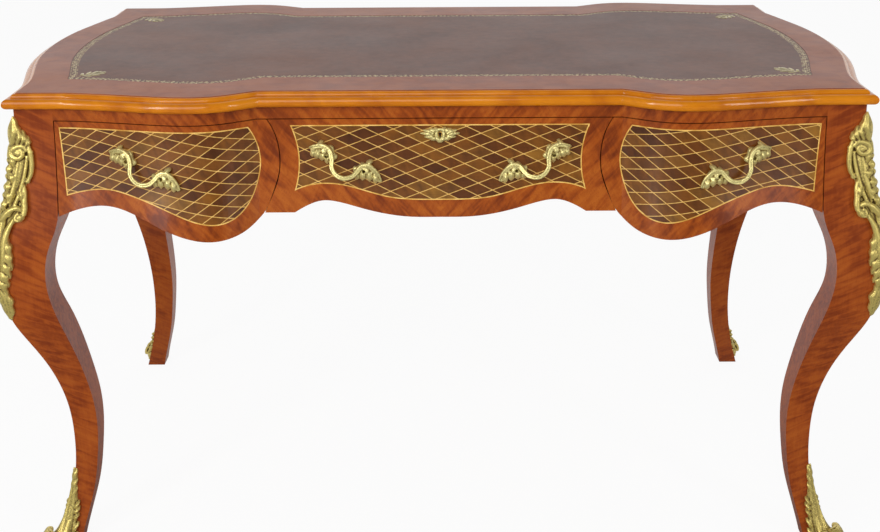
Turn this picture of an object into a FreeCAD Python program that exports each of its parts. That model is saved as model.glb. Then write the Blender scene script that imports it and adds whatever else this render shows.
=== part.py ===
import FreeCAD, Part
import math
import os
import re

# Writing desk: serpentine top on four cabriole legs, three drawers in front, dummy fronts behind.
# Millimetres. X to the right, Y to the back, Z up, origin on the floor under the middle.

V = FreeCAD.Vector
doc = FreeCAD.newDocument("Desk")
sheet = doc.addObject("Spreadsheet::Sheet", "Sizes")

SIZES = (
    # top
    ("desk_height", 795.0),
    ("moulding_height", 23.0),
    ("moulding_reach", 18.0),
    ("moulding_tongue", 10.0),
    ("bead_radius", 8.0),
    ("ovolo_width", 6.5),
    ("ovolo_height", 4.5),
    ("veneer_thick", 1.0),
    ("leather_thick", 0.7),
    ("corner_x", 645.0),
    ("corner_y", 356.0),
    ("centre_y", 351.0),
    ("crease_x", 280.0),
    ("front_bulge", 39.0),
    ("side_bulge", 45.0),
    ("border_front", 88.0),
    ("border_side", 57.0),
    # legs
    ("frieze_out", 4.5),
    ("leg_post", 58.5),
    ("leg_sweep", 67.5),
    # rails and aprons
    ("rail_height", 19.5),
    ("rail_thick", 42.0),
    ("side_thick", 24.0),
    ("side_drop", 182.0),
    ("tenon_length", 25.0),
    ("tenon_thick", 12.0),
    ("tenon_shoulder", 3.0),
    # drawer bay
    ("runner_drop", 132.0),
    ("runner_thick", 14.0),
    ("lower_rail_width", 40.0),
    ("runner_width", 31.0),
    ("divider_x", 259.5),
    ("divider_thick", 18.0),
    ("divider_runner", 78.0),
    ("guide_height", 22.0),
    ("kicker_width", 26.0),
    ("kicker_drop", 26.5),
    ("block_size", 34.0),
    ("block_height", 40.0),
    ("screw_radius", 2.0),
    ("screw_head", 4.0),
    ("screw_bite", 14.0),
    # drawers
    ("seam_gap", 1.5),
    ("running_gap", 0.3),
    ("slide_gap", 0.8),
    ("stop_gap", 0.5),
    ("front_thick", 30.0),
    ("front_drop", 176.0),
    ("middle_drop", 151.0),
    ("waist_x", 247.5),
    ("field_thick", 0.9),
    ("glue_line", 0.15),
    ("drawer_depth", 540.0),
    ("drawer_wall", 12.0),
    ("drawer_rear", 10.0),
    ("drawer_floor", 5.0),
    ("floor_lift", 6.0),
    ("drawer_headroom", 8.0),
    ("middle_box_x", 241.0),
    ("side_box_inset", 9.0),
    ("lap_cover", 10.0),
    ("groove_depth", 5.0),
    # pulls, lock and mounts
    ("pull_span", 62.0),
    ("pull_length", 113.0),
    ("pull_reach", 20.0),
    ("pull_bar", 4.2),
    ("pull_leaf", 8.5),
    ("pull_slope", 22.0),
    ("pull_drop", 66.0),
    ("side_pull_x", 449.0),
    ("middle_pull_x", 146.0),
    ("bolt_radius", 2.3),
    ("bolt_clear", 0.3),
    ("nut_radius", 5.0),
    ("nut_thick", 4.0),
    ("plate_width", 60.0),
    ("plate_height", 27.0),
    ("plate_thick", 5.0),
    ("keyhole_inset", 24.0),
    ("keyhole_radius", 2.4),
    ("keyhole_drop", 8.0),
    ("lock_width", 52.0),
    ("lock_height", 44.0),
    ("lock_thick", 12.0),
    ("latch_width", 18.0),
    ("latch_thick", 6.0),
    ("latch_height", 27.0),
    ("latch_travel", 9.0),
    ("mount_thick", 7.0),
    ("mount_width", 38.0),
    ("sabot_thick", 6.0),
    ("toe_radius", 9.0),
)

for row, (name, value) in enumerate(SIZES, start=1):
    sheet.set("A%d" % row, name)
    sheet.set("B%d" % row, str(value))
    sheet.setAlias("B%d" % row, name)
doc.recompute()
rows_used = len(SIZES)


def size(name):
    """Value of a named size."""
    return float(sheet.get(name))


def keep(name, value):
    """Puts a size worked out from the others in the sheet."""
    global rows_used
    rows_used += 1
    sheet.set("A%d" % rows_used, name)
    sheet.set("B%d" % rows_used, repr(float(value)))
    sheet.setAlias("B%d" % rows_used, name)
    sheet.recompute()
    return float(value)


def cells(text):
    """Formula in sheet names, as an expression."""
    return re.sub(r"[a-z][a-z_]{2,}", lambda found: "Sizes." + found.group(0), text)


def board(name, x, y, z):
    """Rectangular piece between two places on each axis, as formulas in sheet names."""
    box = doc.addObject("Part::Box", name)
    for side, place, (low, high) in (("Length", "x", x), ("Width", "y", y), ("Height", "z", z)):
        box.setExpression(side, cells("(%s) - (%s)" % (high, low)))
        box.setExpression("Placement.Base." + place, cells(low))
    return box


def rod(name, radius, length, x, y, z, axis):
    """Round bar from a place along an axis."""
    bar = doc.addObject("Part::Cylinder", name)
    bar.setExpression("Radius", cells(radius))
    bar.setExpression("Height", cells(length))
    bar.Placement = FreeCAD.Placement(V(), FreeCAD.Rotation(V(0, 0, 1), axis))
    for place, formula in (("x", x), ("y", y), ("z", z)):
        bar.setExpression("Placement.Base." + place, cells(formula))
    return bar


def feature(name, shape):
    """Piece whose shape is worked out from the sheet."""
    item = doc.addObject("Part::Feature", name)
    item.Shape = shape
    return item


def fuse(name, items):
    item = doc.addObject("Part::MultiFuse", name)
    item.Shapes = list(items)
    item.Refine = True
    return item


def common(name, items):
    item = doc.addObject("Part::MultiCommon", name)
    item.Shapes = list(items)
    return item


def cut(name, base, tool):
    item = doc.addObject("Part::Cut", name)
    item.Base = base
    item.Tool = tool
    return item


def cut_all(name, base, tools):
    return cut(name, base, group(name + "_tools", tools))


def group(name, items):
    item = doc.addObject("Part::Compound", name)
    item.Links = list(items)
    return item


def mirrored(name, source, normal):
    """Copy reflected through the middle of the desk."""
    item = doc.addObject("Part::Mirroring", name)
    item.Source = source
    item.Base = V()
    item.Normal = normal
    return item


ACROSS = V(1, 0, 0)
ALONG = V(0, 1, 0)
UP = V(0, 0, 1)

# Levels and places worked out from the sizes.
carcase_top = keep("carcase_top", size("desk_height") - size("moulding_height"))
drawer_ceiling = keep("drawer_ceiling", carcase_top - size("rail_height"))
drawer_top = keep("drawer_top", drawer_ceiling - size("seam_gap"))
runner_top = keep("runner_top", carcase_top - size("runner_drop"))
keep("pull_height", drawer_top - size("pull_drop"))
keep("keyhole_z", drawer_top - size("keyhole_inset"))
leg_corner_x = keep("leg_corner_x", size("corner_x") + size("frieze_out"))
leg_corner_y = keep("leg_corner_y", size("corner_y") + size("frieze_out"))
seam_x = keep("seam_x", leg_corner_x - size("leg_post"))
seam_y = keep("seam_y", leg_corner_y - size("leg_post"))


def smooth(points, start=None, end=None):
    """Curve through points, with end directions where they matter."""
    curve = Part.BSplineCurve()
    if start is None:
        curve.interpolate(Points=points)
    else:
        curve.interpolate(Points=points, InitialTangent=start, FinalTangent=end)
    return curve


def run(points):
    """Line through two points, curve through more."""
    if len(points) > 2:
        return smooth(points).toShape()
    return Part.LineSegment(points[0], points[1]).toShape()


def loop(runs):
    """Closed wire of runs, each a list of points."""
    return Part.Wire([run(points) for points in runs])


# Plan of the top: straight middle, a bulge before each side drawer, flat corners, bowed sides.
bulge_run_shares = (0.0, 0.10, 0.19, 0.33, 0.45, 0.60, 0.75, 0.88, 1.0)
bulge_rise_shares = (0.0, 0.474, 0.82, 0.96, 0.84, 0.564, 0.288, 0.085, 0.0)
bow_run_shares = (0.0, 0.20, 0.40, 0.62, 0.84, 1.0)
bow_rise_shares = (1.0, 0.95, 0.79, 0.47, 0.12, 0.0)
crease_slope_share = 0.55


def front_points(rise, inset):
    """Plan of the right-hand front bulge from the crease to the leg."""
    span = seam_x - size("crease_x")
    lift = size("corner_y") - size("centre_y")
    points = []
    for along, hump in zip(bulge_run_shares, bulge_rise_shares):
        y = size("centre_y") + lift * along + rise * hump - inset
        points.append(V(size("crease_x") + span * along, -y, 0))
    return points


def front_curve(inset):
    """Right-hand front bulge, leaving the crease at a slope and meeting the leg square."""
    start = V(1, -crease_slope_share, 0)
    return smooth(front_points(size("front_bulge"), inset), start, ACROSS)


def side_curve(inset):
    """Right-hand side bow, front leg to back leg."""
    half = []
    for along, hump in zip(bow_run_shares, bow_rise_shares):
        half.append(V(size("corner_x") + size("side_bulge") * hump - inset, seam_y * along, 0))
    other = [V(point.x, -point.y, 0) for point in reversed(half[1:])]
    return smooth(other + half, ALONG, ALONG)


def mirror_edge(edge, normal):
    return edge.mirror(V(), normal)


def traced(curve, low, high, start, end):
    """Part of a curve, redrawn between two exact ends."""
    steps_share = 14
    between = [curve.value(low + (high - low) * step / steps_share) for step in range(1, steps_share)]
    return smooth([start] + between + [end]).toShape()


def plan_wire(front_inset, side_inset):
    """Outline of the top, or of a part of it set in from the edge."""
    bulge = front_curve(front_inset)
    bow = side_curve(side_inset)
    start = bulge.StartPoint
    end = bulge.EndPoint
    low = bow.StartPoint
    gap, meeting, _ = bulge.toShape().distToShape(bow.toShape())
    if gap < size("glue_line"):
        corner = meeting[0][1]
        far = V(corner.x, -corner.y, 0)
        right = [traced(bulge, bulge.FirstParameter, bulge.parameter(corner), start, corner)]
        side = traced(bow, bow.parameter(corner), bow.parameter(far), corner, far)
    else:
        corner = V(low.x, end.y, 0)
        right = [bulge.toShape()]
        if (corner - end).Length > size("glue_line"):
            right.append(Part.LineSegment(end, corner).toShape())
        else:
            corner = end
        right.append(Part.LineSegment(corner, low).toShape())
        side = bow.toShape()
    half = right + [mirror_edge(edge, ALONG) for edge in right] + [side]
    left = [mirror_edge(edge, ACROSS) for edge in half]
    middle = Part.LineSegment(V(-start.x, start.y, 0), start).toShape()
    edges = half + left + [middle, mirror_edge(middle, ALONG)]
    return Part.Wire(Part.__sortEdges__(edges))


def plate(wire, low, high):
    """Flat plate of a plan outline between two levels."""
    face = Part.Face(wire)
    face.translate(V(0, 0, low))
    return face.extrude(V(0, 0, high - low))


# Edge moulding: an ovolo over a bead.
def moulding_profile(start, tangent):
    """Section of the moulding, square to a path on the top surface."""
    outward = tangent.cross(UP)
    outward.normalize()
    high = size("desk_height")
    bead_u = size("moulding_reach") - size("bead_radius")
    bead_w = size("moulding_height") - size("bead_radius")
    ovolo_end = size("veneer_thick") + size("ovolo_height")
    side = bead_u - size("ovolo_width")
    meet = bead_w - math.sqrt(size("bead_radius") ** 2 - side ** 2)
    round_share = math.sqrt(0.5)

    def at(u, w):
        return V(start.x, start.y, high - w) + outward * u

    crown = at(0, size("veneer_thick"))
    tongue = at(-size("moulding_tongue"), size("veneer_thick"))
    heel = at(-size("moulding_tongue"), size("moulding_height"))
    ovolo_mid = at(size("ovolo_width") * round_share, ovolo_end - size("ovolo_height") * round_share)
    shelf = at(size("ovolo_width"), ovolo_end)
    neck = at(size("ovolo_width"), meet)
    tip = at(size("moulding_reach"), bead_w)
    foot = at(bead_u, size("moulding_height"))
    edges = [Part.LineSegment(tongue, crown).toShape()]
    edges.append(Part.Arc(crown, ovolo_mid, shelf).toShape())
    edges.append(Part.LineSegment(shelf, neck).toShape())
    edges.append(Part.Arc(neck, tip, foot).toShape())
    edges.append(Part.LineSegment(foot, heel).toShape())
    edges.append(Part.LineSegment(heel, tongue).toShape())
    return Part.Wire(edges)


def moulding_run(points_before, curve, points_after):
    """Moulding swept along a curve with straight ends."""
    start = curve.StartPoint
    end = curve.EndPoint
    edges = [Part.LineSegment(points_before, start).toShape(), curve.toShape()]
    edges.append(Part.LineSegment(end, points_after).toShape())
    path = Part.Wire(edges)
    path.translate(V(0, 0, size("desk_height")))
    tangent = start - points_before
    tangent.normalize()
    profile = moulding_profile(points_before, tangent)
    return path.makePipeShell([profile], True, False)


def mitre_wedge(points):
    """Upright prism of a plan polygon, to trim a moulding to its mitres."""
    wire = Part.makePolygon(points + [points[0]])
    return plate(wire, 0, size("desk_height") + size("moulding_height"))


bulge = front_curve(0)
bow = side_curve(0)
crease = bulge.StartPoint
leave = bulge.tangent(bulge.FirstParameter)[0]
far = size("corner_x") * 2
over = size("moulding_reach") * 3
corner = V(size("corner_x"), -size("corner_y"), 0)
mitre = V(0, -1, 0) + V(leave.y, -leave.x, 0)
mitre.normalize()
crease_out = crease + mitre * far
crease_in = crease - mitre * over
corner_out = corner + V(far, -far, 0)
corner_in = corner + V(-over, over, 0)

front_swept = moulding_run(crease - leave * over, bulge, corner + ACROSS * over)
front_right = front_swept.common(mitre_wedge([crease_in, crease_out, corner_out, corner_in]))
middle_path = V(-crease.x - over, crease.y, 0)
middle_face = Part.Face(moulding_profile(middle_path, ACROSS))
middle_swept = middle_face.extrude(ACROSS * (crease.x + over) * 2)
left_in = V(-crease_in.x, crease_in.y, 0)
left_out = V(-crease_out.x, crease_out.y, 0)
front_middle = middle_swept.common(mitre_wedge([left_in, left_out, crease_out, crease_in]))
side_swept = moulding_run(V(bow.StartPoint.x, -size("corner_y") - over, 0), bow,
                          V(bow.EndPoint.x, size("corner_y") + over, 0))
back_corner_out = V(corner_out.x, -corner_out.y, 0)
back_corner_in = V(corner_in.x, -corner_in.y, 0)
side_wedge = mitre_wedge([corner_in, corner_out, back_corner_out, back_corner_in])
side_right = side_swept.common(side_wedge)

moulding_middle = feature("moulding_middle_length", front_middle.Solids[0])
moulding_right = feature("moulding_right_length", front_right.Solids[0])
moulding_left = mirrored("moulding_left_length", moulding_right, ACROSS)
edge_moulding_front = group("edge_moulding_front", [moulding_left, moulding_middle, moulding_right])
edge_moulding_back = mirrored("edge_moulding_back", edge_moulding_front, ALONG)
edge_moulding_right = feature("edge_moulding_right", side_right.Solids[0])
edge_moulding_left = mirrored("edge_moulding_left", edge_moulding_right, ACROSS)

# Top: panel within the moulding, cross-banded border over both, leather in the middle.
surface = size("desk_height")
veneer_under = surface - size("veneer_thick")
top_wire = plan_wire(0, 0)
leather_wire = plan_wire(size("border_front"), size("border_side"))
panel_blank = feature("panel_blank", plate(top_wire, carcase_top, veneer_under))
panel_trimmed = cut_all("panel_trimmed", panel_blank, [
    edge_moulding_front, edge_moulding_back, edge_moulding_left, edge_moulding_right])
top_crossband = cut("top_crossband", feature("border_blank", plate(top_wire, veneer_under, surface)),
                    feature("border_hole", plate(leather_wire, veneer_under, surface)))
leather_inset = feature("leather_inset",
                        plate(leather_wire, veneer_under, veneer_under + size("leather_thick")))

# Cabriole legs: the outer line is the same seen from the front and from the side. The inner lines differ,
# because the leg is wider than it is deep at the knee and deeper than it is wide at the ankle.
leg_height_shares = (1.0, 0.952, 0.894, 0.829, 0.751, 0.674, 0.609, 0.557, 0.505,
                     0.44, 0.376, 0.311, 0.253, 0.194, 0.13, 0.065, 0.0)
leg_outer_shares = (0.0, 0.022, 0.104, 0.237, 0.43, 0.556, 0.533, 0.422, 0.2,
                    -0.089, -0.296, -0.415, -0.444, -0.422, -0.326, -0.148, 0.081)
inner_height_shares = (0.0, 0.063, 0.13, 0.205, 0.275, 0.328, 0.404, 0.478, 0.557,
                       0.622, 0.67, 0.716, 0.751, 0.785)
leg_inner_shares = (0.409, 0.217, 0.014, -0.114, -0.178, -0.166, -0.074, 0.05, 0.213,
                    0.354, 0.366, 0.262, 0.1, 0.0)
leg_side_inner_shares = (0.329, 0.137, -0.046, -0.139, -0.193, -0.206, -0.094, 0.075, 0.363,
                         0.624, 0.611, 0.447, 0.21, 0.0)

sweep = size("leg_sweep")
leg_curve = smooth([V(sweep * out, 0, carcase_top * up)
                    for up, out in zip(leg_height_shares, leg_outer_shares)])


def sweep_at(z):
    """How far the leg's outer edge stands beyond its top at a level."""
    low = leg_curve.FirstParameter
    high = leg_curve.LastParameter
    halvings_share = 48
    for _ in range(halvings_share):
        middle = (low + high) / 2
        if leg_curve.value(middle).z > z:
            low = middle
        else:
            high = middle
    return leg_curve.value(low).x


def on_plane(points, outward, start):
    """Profile points (distance out from the leg's top edge, level) set on an upright plane."""
    return [start + outward * point.x + V(0, 0, point.z) for point in points]


def cross_profile(name, front_runs, side_runs, depth):
    """Solid with one outline seen from the front and another seen from the right."""
    corner_line = V(leg_corner_x, -leg_corner_y, 0)
    shapes = []
    for outward, along, outline_runs in ((ACROSS, ALONG, front_runs), (V(0, -1, 0), V(-1, 0, 0), side_runs)):
        start = corner_line - along * depth
        wire = loop([on_plane(points, outward, start) for points in outline_runs])
        shapes.append(feature(name + "_seen", Part.Face(wire).extrude(along * depth * 2)))
    return common(name, shapes)


outer_run = [V(sweep * out, 0, carcase_top * up) for up, out in zip(leg_height_shares, leg_outer_shares)]
post_top = V(-size("leg_post"), 0, carcase_top)


def leg_outline(inner_shares):
    """Outline of the leg with the given inner line, as runs of points."""
    inner_run = [V(sweep * out - size("leg_post"), 0, carcase_top * up)
                 for up, out in zip(inner_height_shares, inner_shares)]
    return [outer_run, [outer_run[-1], inner_run[0]], inner_run, [inner_run[-1], post_top],
            [post_top, outer_run[0]]]


leg_blank = cross_profile("leg_blank", leg_outline(leg_inner_shares), leg_outline(leg_side_inner_shares),
                          size("leg_post") * 3)

# Tenons: front rails enter the legs sideways, side aprons enter them from behind.
keep("rail_tenon_y", leg_corner_y - size("leg_post") / 2)
keep("side_tenon_x", leg_corner_x - size("leg_post") / 2 + size("tenon_thick"))
keep("apron_tenon_low", runner_top + size("tenon_shoulder") * 3)


def top_rail_tenon(name):
    return board(name, ("seam_x - tenon_thick", "seam_x + tenon_length"),
                 ("-rail_tenon_y - tenon_thick / 2", "-rail_tenon_y + tenon_thick / 2"),
                 ("drawer_ceiling + tenon_shoulder", "carcase_top - tenon_shoulder"))


def lower_rail_tenon(name):
    return board(name, ("seam_x - tenon_thick", "seam_x + tenon_length"),
                 ("-rail_tenon_y - tenon_thick / 2", "-rail_tenon_y + tenon_thick / 2"),
                 ("runner_top - runner_thick + tenon_shoulder", "runner_top - tenon_shoulder"))


def apron_tenon(name):
    return board(name, ("side_tenon_x", "side_tenon_x + tenon_thick"),
                 ("-seam_y - tenon_length", "-seam_y + tenon_shoulder"),
                 ("apron_tenon_low", "drawer_ceiling - tenon_shoulder * 3"))


leg_front_right = cut_all("leg_front_right", leg_blank, [
    top_rail_tenon("top_mortise"), lower_rail_tenon("lower_mortise"), apron_tenon("apron_mortise")])
leg_front_left = mirrored("leg_front_left", leg_front_right, ACROSS)
leg_back_right = mirrored("leg_back_right", leg_front_right, ALONG)
leg_back_left = mirrored("leg_back_left", leg_front_left, ALONG)


# Frieze surface: the plan of the top carried down along the bow of the leg.
def carried_face(curve, outward):
    """Face made by carrying a plan curve down the leg's profile."""
    rows = []
    for point in curve.getPoles():
        rows.append([point + outward * pole.x + V(0, 0, pole.z) for pole in leg_curve.getPoles()])
    face = Part.BSplineSurface()
    face.buildFromPolesMultsKnots(rows, curve.getMultiplicities(), leg_curve.getMultiplicities(),
                                  curve.getKnots(), leg_curve.getKnots(), False, False,
                                  curve.Degree, leg_curve.Degree)
    return face.toShape()


def slab(face, inward):
    """Solid behind a frieze face."""
    solid = face.extrude(inward)
    if solid.Volume < 0:
        solid.reverse()
    return solid


OUT = V(0, -1, 0)
frieze_right = front_curve(-size("frieze_out"))
crease_front = frieze_right.StartPoint
frieze_middle = Part.LineSegment(V(-crease_front.x, crease_front.y, 0), crease_front).toBSpline()
right_face = carried_face(frieze_right, OUT)
middle_face = carried_face(frieze_middle, OUT)
side_face = carried_face(side_curve(-size("frieze_out")), ACROSS)


def front_slab(name, thick, forward):
    """Slab behind the whole front, moved forward by a distance."""
    right = feature(name + "_right", slab(right_face, ALONG * thick).translated(OUT * forward))
    middle = feature(name + "_middle", slab(middle_face, ALONG * thick).translated(OUT * forward))
    left = mirrored(name + "_left", right, ACROSS)
    return fuse(name, [left, middle, right])


front_blank = front_slab("front_blank", size("front_thick"), 0)
rail_blank = front_slab("rail_blank", size("rail_thick"), 0)
field_blank = front_slab("field_blank", size("field_thick"), 0)
recess_blank = front_slab("recess_blank", size("field_thick") + size("glue_line"), 0)
seat_blank = front_slab("seat_blank", size("front_thick"), size("glue_line"))
ahead = size("front_bulge") * 2
groove_blank = front_slab("groove_blank", ahead + size("front_thick") - size("groove_depth"), ahead)
frieze_y = keep("frieze_y", size("centre_y") + size("frieze_out"))


# Places in the drawer bay worked out from the frieze.
lower_rail_y = keep("lower_rail_y", frieze_y - size("front_thick") + sweep_at(runner_top) - size("stop_gap"))
keep("runner_y", lower_rail_y - size("lower_rail_width"))
keep("divider_y", lower_rail_y - size("lower_rail_width") / 2)
keep("divider_left", size("divider_x") - size("divider_thick") / 2)
keep("divider_right", size("divider_x") + size("divider_thick") / 2)
keep("kicker_y", frieze_y - size("rail_thick"))
keep("lock_rear", frieze_y - size("front_thick"))
keep("latch_y", size("lock_thick") / 2 + size("latch_thick") / 2)
keep("box_low", runner_top + size("running_gap"))
keep("box_high", drawer_top - size("drawer_headroom"))
keep("floor_low", runner_top + size("running_gap") + size("floor_lift"))
keep("floor_high", runner_top + size("running_gap") + size("floor_lift") + size("drawer_floor"))
keep("box_rear", size("drawer_depth") - frieze_y)
keep("side_box_left", size("divider_x") + size("divider_thick") / 2 + size("slide_gap"))
keep("side_box_right", seam_x - size("side_box_inset"))


def front_zone(name, x, z):
    """Block over the whole front half between places in width and height."""
    return board(name, x, ("-desk_height", "desk_height - desk_height"), z)


# Top rails, tenoned into the legs. The front one takes the lock's bolt.
rail_body = common("rail_body", [rail_blank, front_zone(
    "rail_zone", ("-seam_x", "seam_x"), ("drawer_ceiling", "carcase_top"))])
rail_tenon = top_rail_tenon("rail_tenon")
rail_joined = fuse("rail_joined", [rail_body, rail_tenon, mirrored("rail_tenon_left", rail_tenon, ACROSS)])
strike = board("strike", ("-latch_width / 2 - slide_gap", "latch_width / 2 + slide_gap"),
               ("-lock_rear - latch_y - slide_gap", "-lock_rear - latch_y + latch_thick + slide_gap"),
               ("drawer_ceiling - seam_gap", "drawer_ceiling + latch_travel + slide_gap"))
front_top_rail = cut("front_top_rail", rail_joined, strike)
back_top_rail = mirrored("back_top_rail", rail_joined, ALONG)

# Lower rails, runners, dividers, guides and kickers.
bearer = board("bearer", ("-seam_x", "seam_x"), ("-lower_rail_y", "-runner_y"),
               ("runner_top - runner_thick", "runner_top"))
bearer_tenon = lower_rail_tenon("bearer_tenon")
front_lower_rail = fuse("front_lower_rail", [bearer, bearer_tenon,
                                             mirrored("bearer_tenon_left", bearer_tenon, ACROSS)])
back_bearer = board("back_bearer", ("-seam_x", "seam_x"), ("runner_y", "lower_rail_y + stop_gap"),
                    ("runner_top - runner_thick", "runner_top"))
back_tenon = mirrored("back_tenon", bearer_tenon, ALONG)
back_lower_rail = fuse("back_lower_rail", [back_bearer, back_tenon,
                                           mirrored("back_tenon_left", back_tenon, ACROSS)])


def pair(name, item):
    """A piece and its mirror image across the middle."""
    return [item, mirrored(name + "_left", item, ACROSS)]


runner_z = ("runner_top - runner_thick", "runner_top")
runner_y = ("-runner_y", "runner_y")
wide_runner = board("wide_runner", ("divider_x - divider_runner / 2", "divider_x + divider_runner / 2"),
                    runner_y, runner_z)
outer_runner = board("outer_runner", ("seam_x - runner_width", "seam_x"), runner_y, runner_z)
runners = pair("wide_runner", wide_runner) + pair("outer_runner", outer_runner)
drawer_runners = group("drawer_runners", runners)
divider = board("divider", ("divider_left", "divider_right"), ("-divider_y", "divider_y"),
                ("runner_top", "drawer_ceiling"))
drawer_dividers = group("drawer_dividers", pair("divider", divider))
guide_z = ("runner_top", "runner_top + guide_height")
middle_guide = board("middle_guide", ("middle_box_x + slide_gap", "divider_left"), runner_y, guide_z)
outer_guide = board("outer_guide", ("side_box_right + slide_gap", "seam_x"), runner_y, guide_z)
drawer_guides = group("drawer_guides", pair("middle_guide", middle_guide) + pair("outer_guide", outer_guide))
kicker_z = ("carcase_top - kicker_drop", "carcase_top")
kicker_y = ("-kicker_y", "kicker_y")
kickers = []
for kicker_name, kicker_x in (("left_kicker", ("divider_left - kicker_width", "divider_left")),
                              ("right_kicker", ("divider_right", "divider_right + kicker_width")),
                              ("outer_kicker", ("seam_x - kicker_width", "seam_x"))):
    kickers += pair(kicker_name, board(kicker_name, kicker_x, kicker_y, kicker_z))
drawer_kickers = group("drawer_kickers", kickers)

# Corner blocks behind the legs, with the screws that hold the top.
block_blank = board("block_blank", ("seam_x", "seam_x + block_size"), ("-seam_y", "-seam_y + block_size"),
                    ("carcase_top - block_height", "carcase_top"))
screw_place = ("seam_x + block_size / 2", "-seam_y + block_size / 2")
shank = rod("shank", "screw_radius", "block_height + screw_bite", screw_place[0], screw_place[1],
            "carcase_top - block_height", UP)
head = rod("head", "screw_head", "screw_radius", screw_place[0], screw_place[1],
           "carcase_top - block_height - screw_radius", UP)
screw = fuse("screw", [shank, head])
block = cut("block", block_blank, shank)


def four(name, item):
    """A piece and its three mirror images."""
    left = mirrored(name + "_left", item, ACROSS)
    return [item, left, mirrored(name + "_back", item, ALONG), mirrored(name + "_back_left", left, ALONG)]


corner_blocks = group("corner_blocks", four("block", block))
top_screws = group("top_screws", four("screw", screw))
top_panel = cut("top_panel", panel_trimmed, top_screws)

# Side aprons with a dipped lower edge and a parquetry field.
apron_run_shares = (1.0, 0.93, 0.80, 0.66, 0.40, 0.20)
apron_edge_shares = (0.905, 0.86, 0.81, 0.825, 0.92, 0.98)
apron_field_run_shares = (0.94, 0.80, 0.66, 0.40, 0.20)
apron_field_edge_shares = (0.747, 0.681, 0.692, 0.786, 0.841)
apron_field_dip_share = 0.863
apron_field_top_share = 0.165


def apron_prism(name, run_shares, edge_shares, dip_share, top_share):
    """Block through the right side with a symmetrical dipped lower edge."""
    half = [V(0, seam_y * along, carcase_top - size("side_drop") * down)
            for along, down in zip(run_shares, edge_shares)]
    other = [V(0, -point.y, point.z) for point in reversed(half)]
    edge = half + [V(0, 0, carcase_top - size("side_drop") * dip_share)] + other
    high = carcase_top - size("side_drop") * top_share
    ends = [V(0, edge[-1].y, high), V(0, edge[0].y, high)]
    wire = loop([edge, [edge[-1], ends[0]], ends, [ends[1], edge[0]]])
    return feature(name, Part.Face(wire).extrude(ACROSS * size("desk_height")))


def side_slab(name, thick):
    return feature(name, slab(side_face, -ACROSS * thick))


apron_body = common("apron_body", [side_slab("apron_slab", size("side_thick")), apron_prism(
    "apron_prism", apron_run_shares, apron_edge_shares, 1, 0)])
apron_tongue = apron_tenon("apron_tongue")
apron_joined = fuse("apron_joined", [apron_body, apron_tongue,
                                     mirrored("apron_tongue_back", apron_tongue, ALONG)])
apron_field = apron_prism("apron_field", apron_field_run_shares, apron_field_edge_shares,
                          apron_field_dip_share, apron_field_top_share)
apron_recess_slab = side_slab("apron_recess_slab", size("field_thick") + size("glue_line"))
apron_recess = common("apron_recess", [apron_recess_slab, apron_field])
right_side_apron = cut("right_side_apron", apron_joined, apron_recess)
left_side_apron = mirrored("left_side_apron", right_side_apron, ACROSS)
apron_veneer = common("apron_veneer", [side_slab("apron_veneer_slab", size("field_thick")), apron_field])
side_parquetry = group("side_parquetry", pair("apron_veneer", apron_veneer))

# Outlines of the drawer fronts and their fields, seen from the front.
waist_x = size("waist_x")
front_span = seam_x - size("seam_gap") - waist_x
edge_run_shares = (1.0, 0.925, 0.849, 0.759, 0.662, 0.534, 0.431, 0.323, 0.221, 0.151, 0.105, 0.074,
                   0.031, 0.004, 0.0, 0.007, 0.028, 0.053)
edge_drop_shares = (0.83, 0.773, 0.733, 0.722, 0.767, 0.875, 0.949, 0.994, 0.989, 0.943, 0.877, 0.8125,
                    0.631, 0.46, 0.347, 0.216, 0.085, 0.0)
end_start_share = 11
arch_run_shares = (0.909, 0.82, 0.735, 0.642, 0.493, 0.335, 0.182)
arch_drop_shares = (0.947, 0.868, 0.828, 0.841, 0.907, 0.967, 0.997)
side_field_run_shares = (0.133, 0.095, 0.083, 0.098, 0.133, 0.194, 0.27, 0.344, 0.458, 0.563, 0.654, 0.762,
                         0.855, 0.96)
side_field_drop_shares = (0.051, 0.216, 0.369, 0.54, 0.705, 0.824, 0.861, 0.841, 0.761, 0.682, 0.625, 0.582,
                          0.597, 0.648)
side_field_end_share = 0.981
waist_field_run_shares = (0.929, 0.881, 0.909)
waist_field_drop_shares = (0.06, 0.391, 0.728)
arch_field_run_shares = (0.909, 0.776, 0.65, 0.485, 0.319, 0.174)
arch_field_drop_shares = (0.728, 0.666, 0.666, 0.728, 0.801, 0.825)
arch_field_mid_share = 0.828


def seen(start_x, span, run_shares, drop, drop_shares):
    """Points seen from the front, measured across from a place and down from the drawer's top."""
    return [V(start_x + span * along, 0, drawer_top - drop * down)
            for along, down in zip(run_shares, drop_shares)]


def flipped(points):
    return [V(-point.x, point.y, point.z) for point in reversed(points)]


def front_prism(name, runs):
    """Block through the front half of the desk with an outline seen from the front."""
    face = Part.Face(loop(runs))
    return feature(name, face.extrude(OUT * size("desk_height")))


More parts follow.
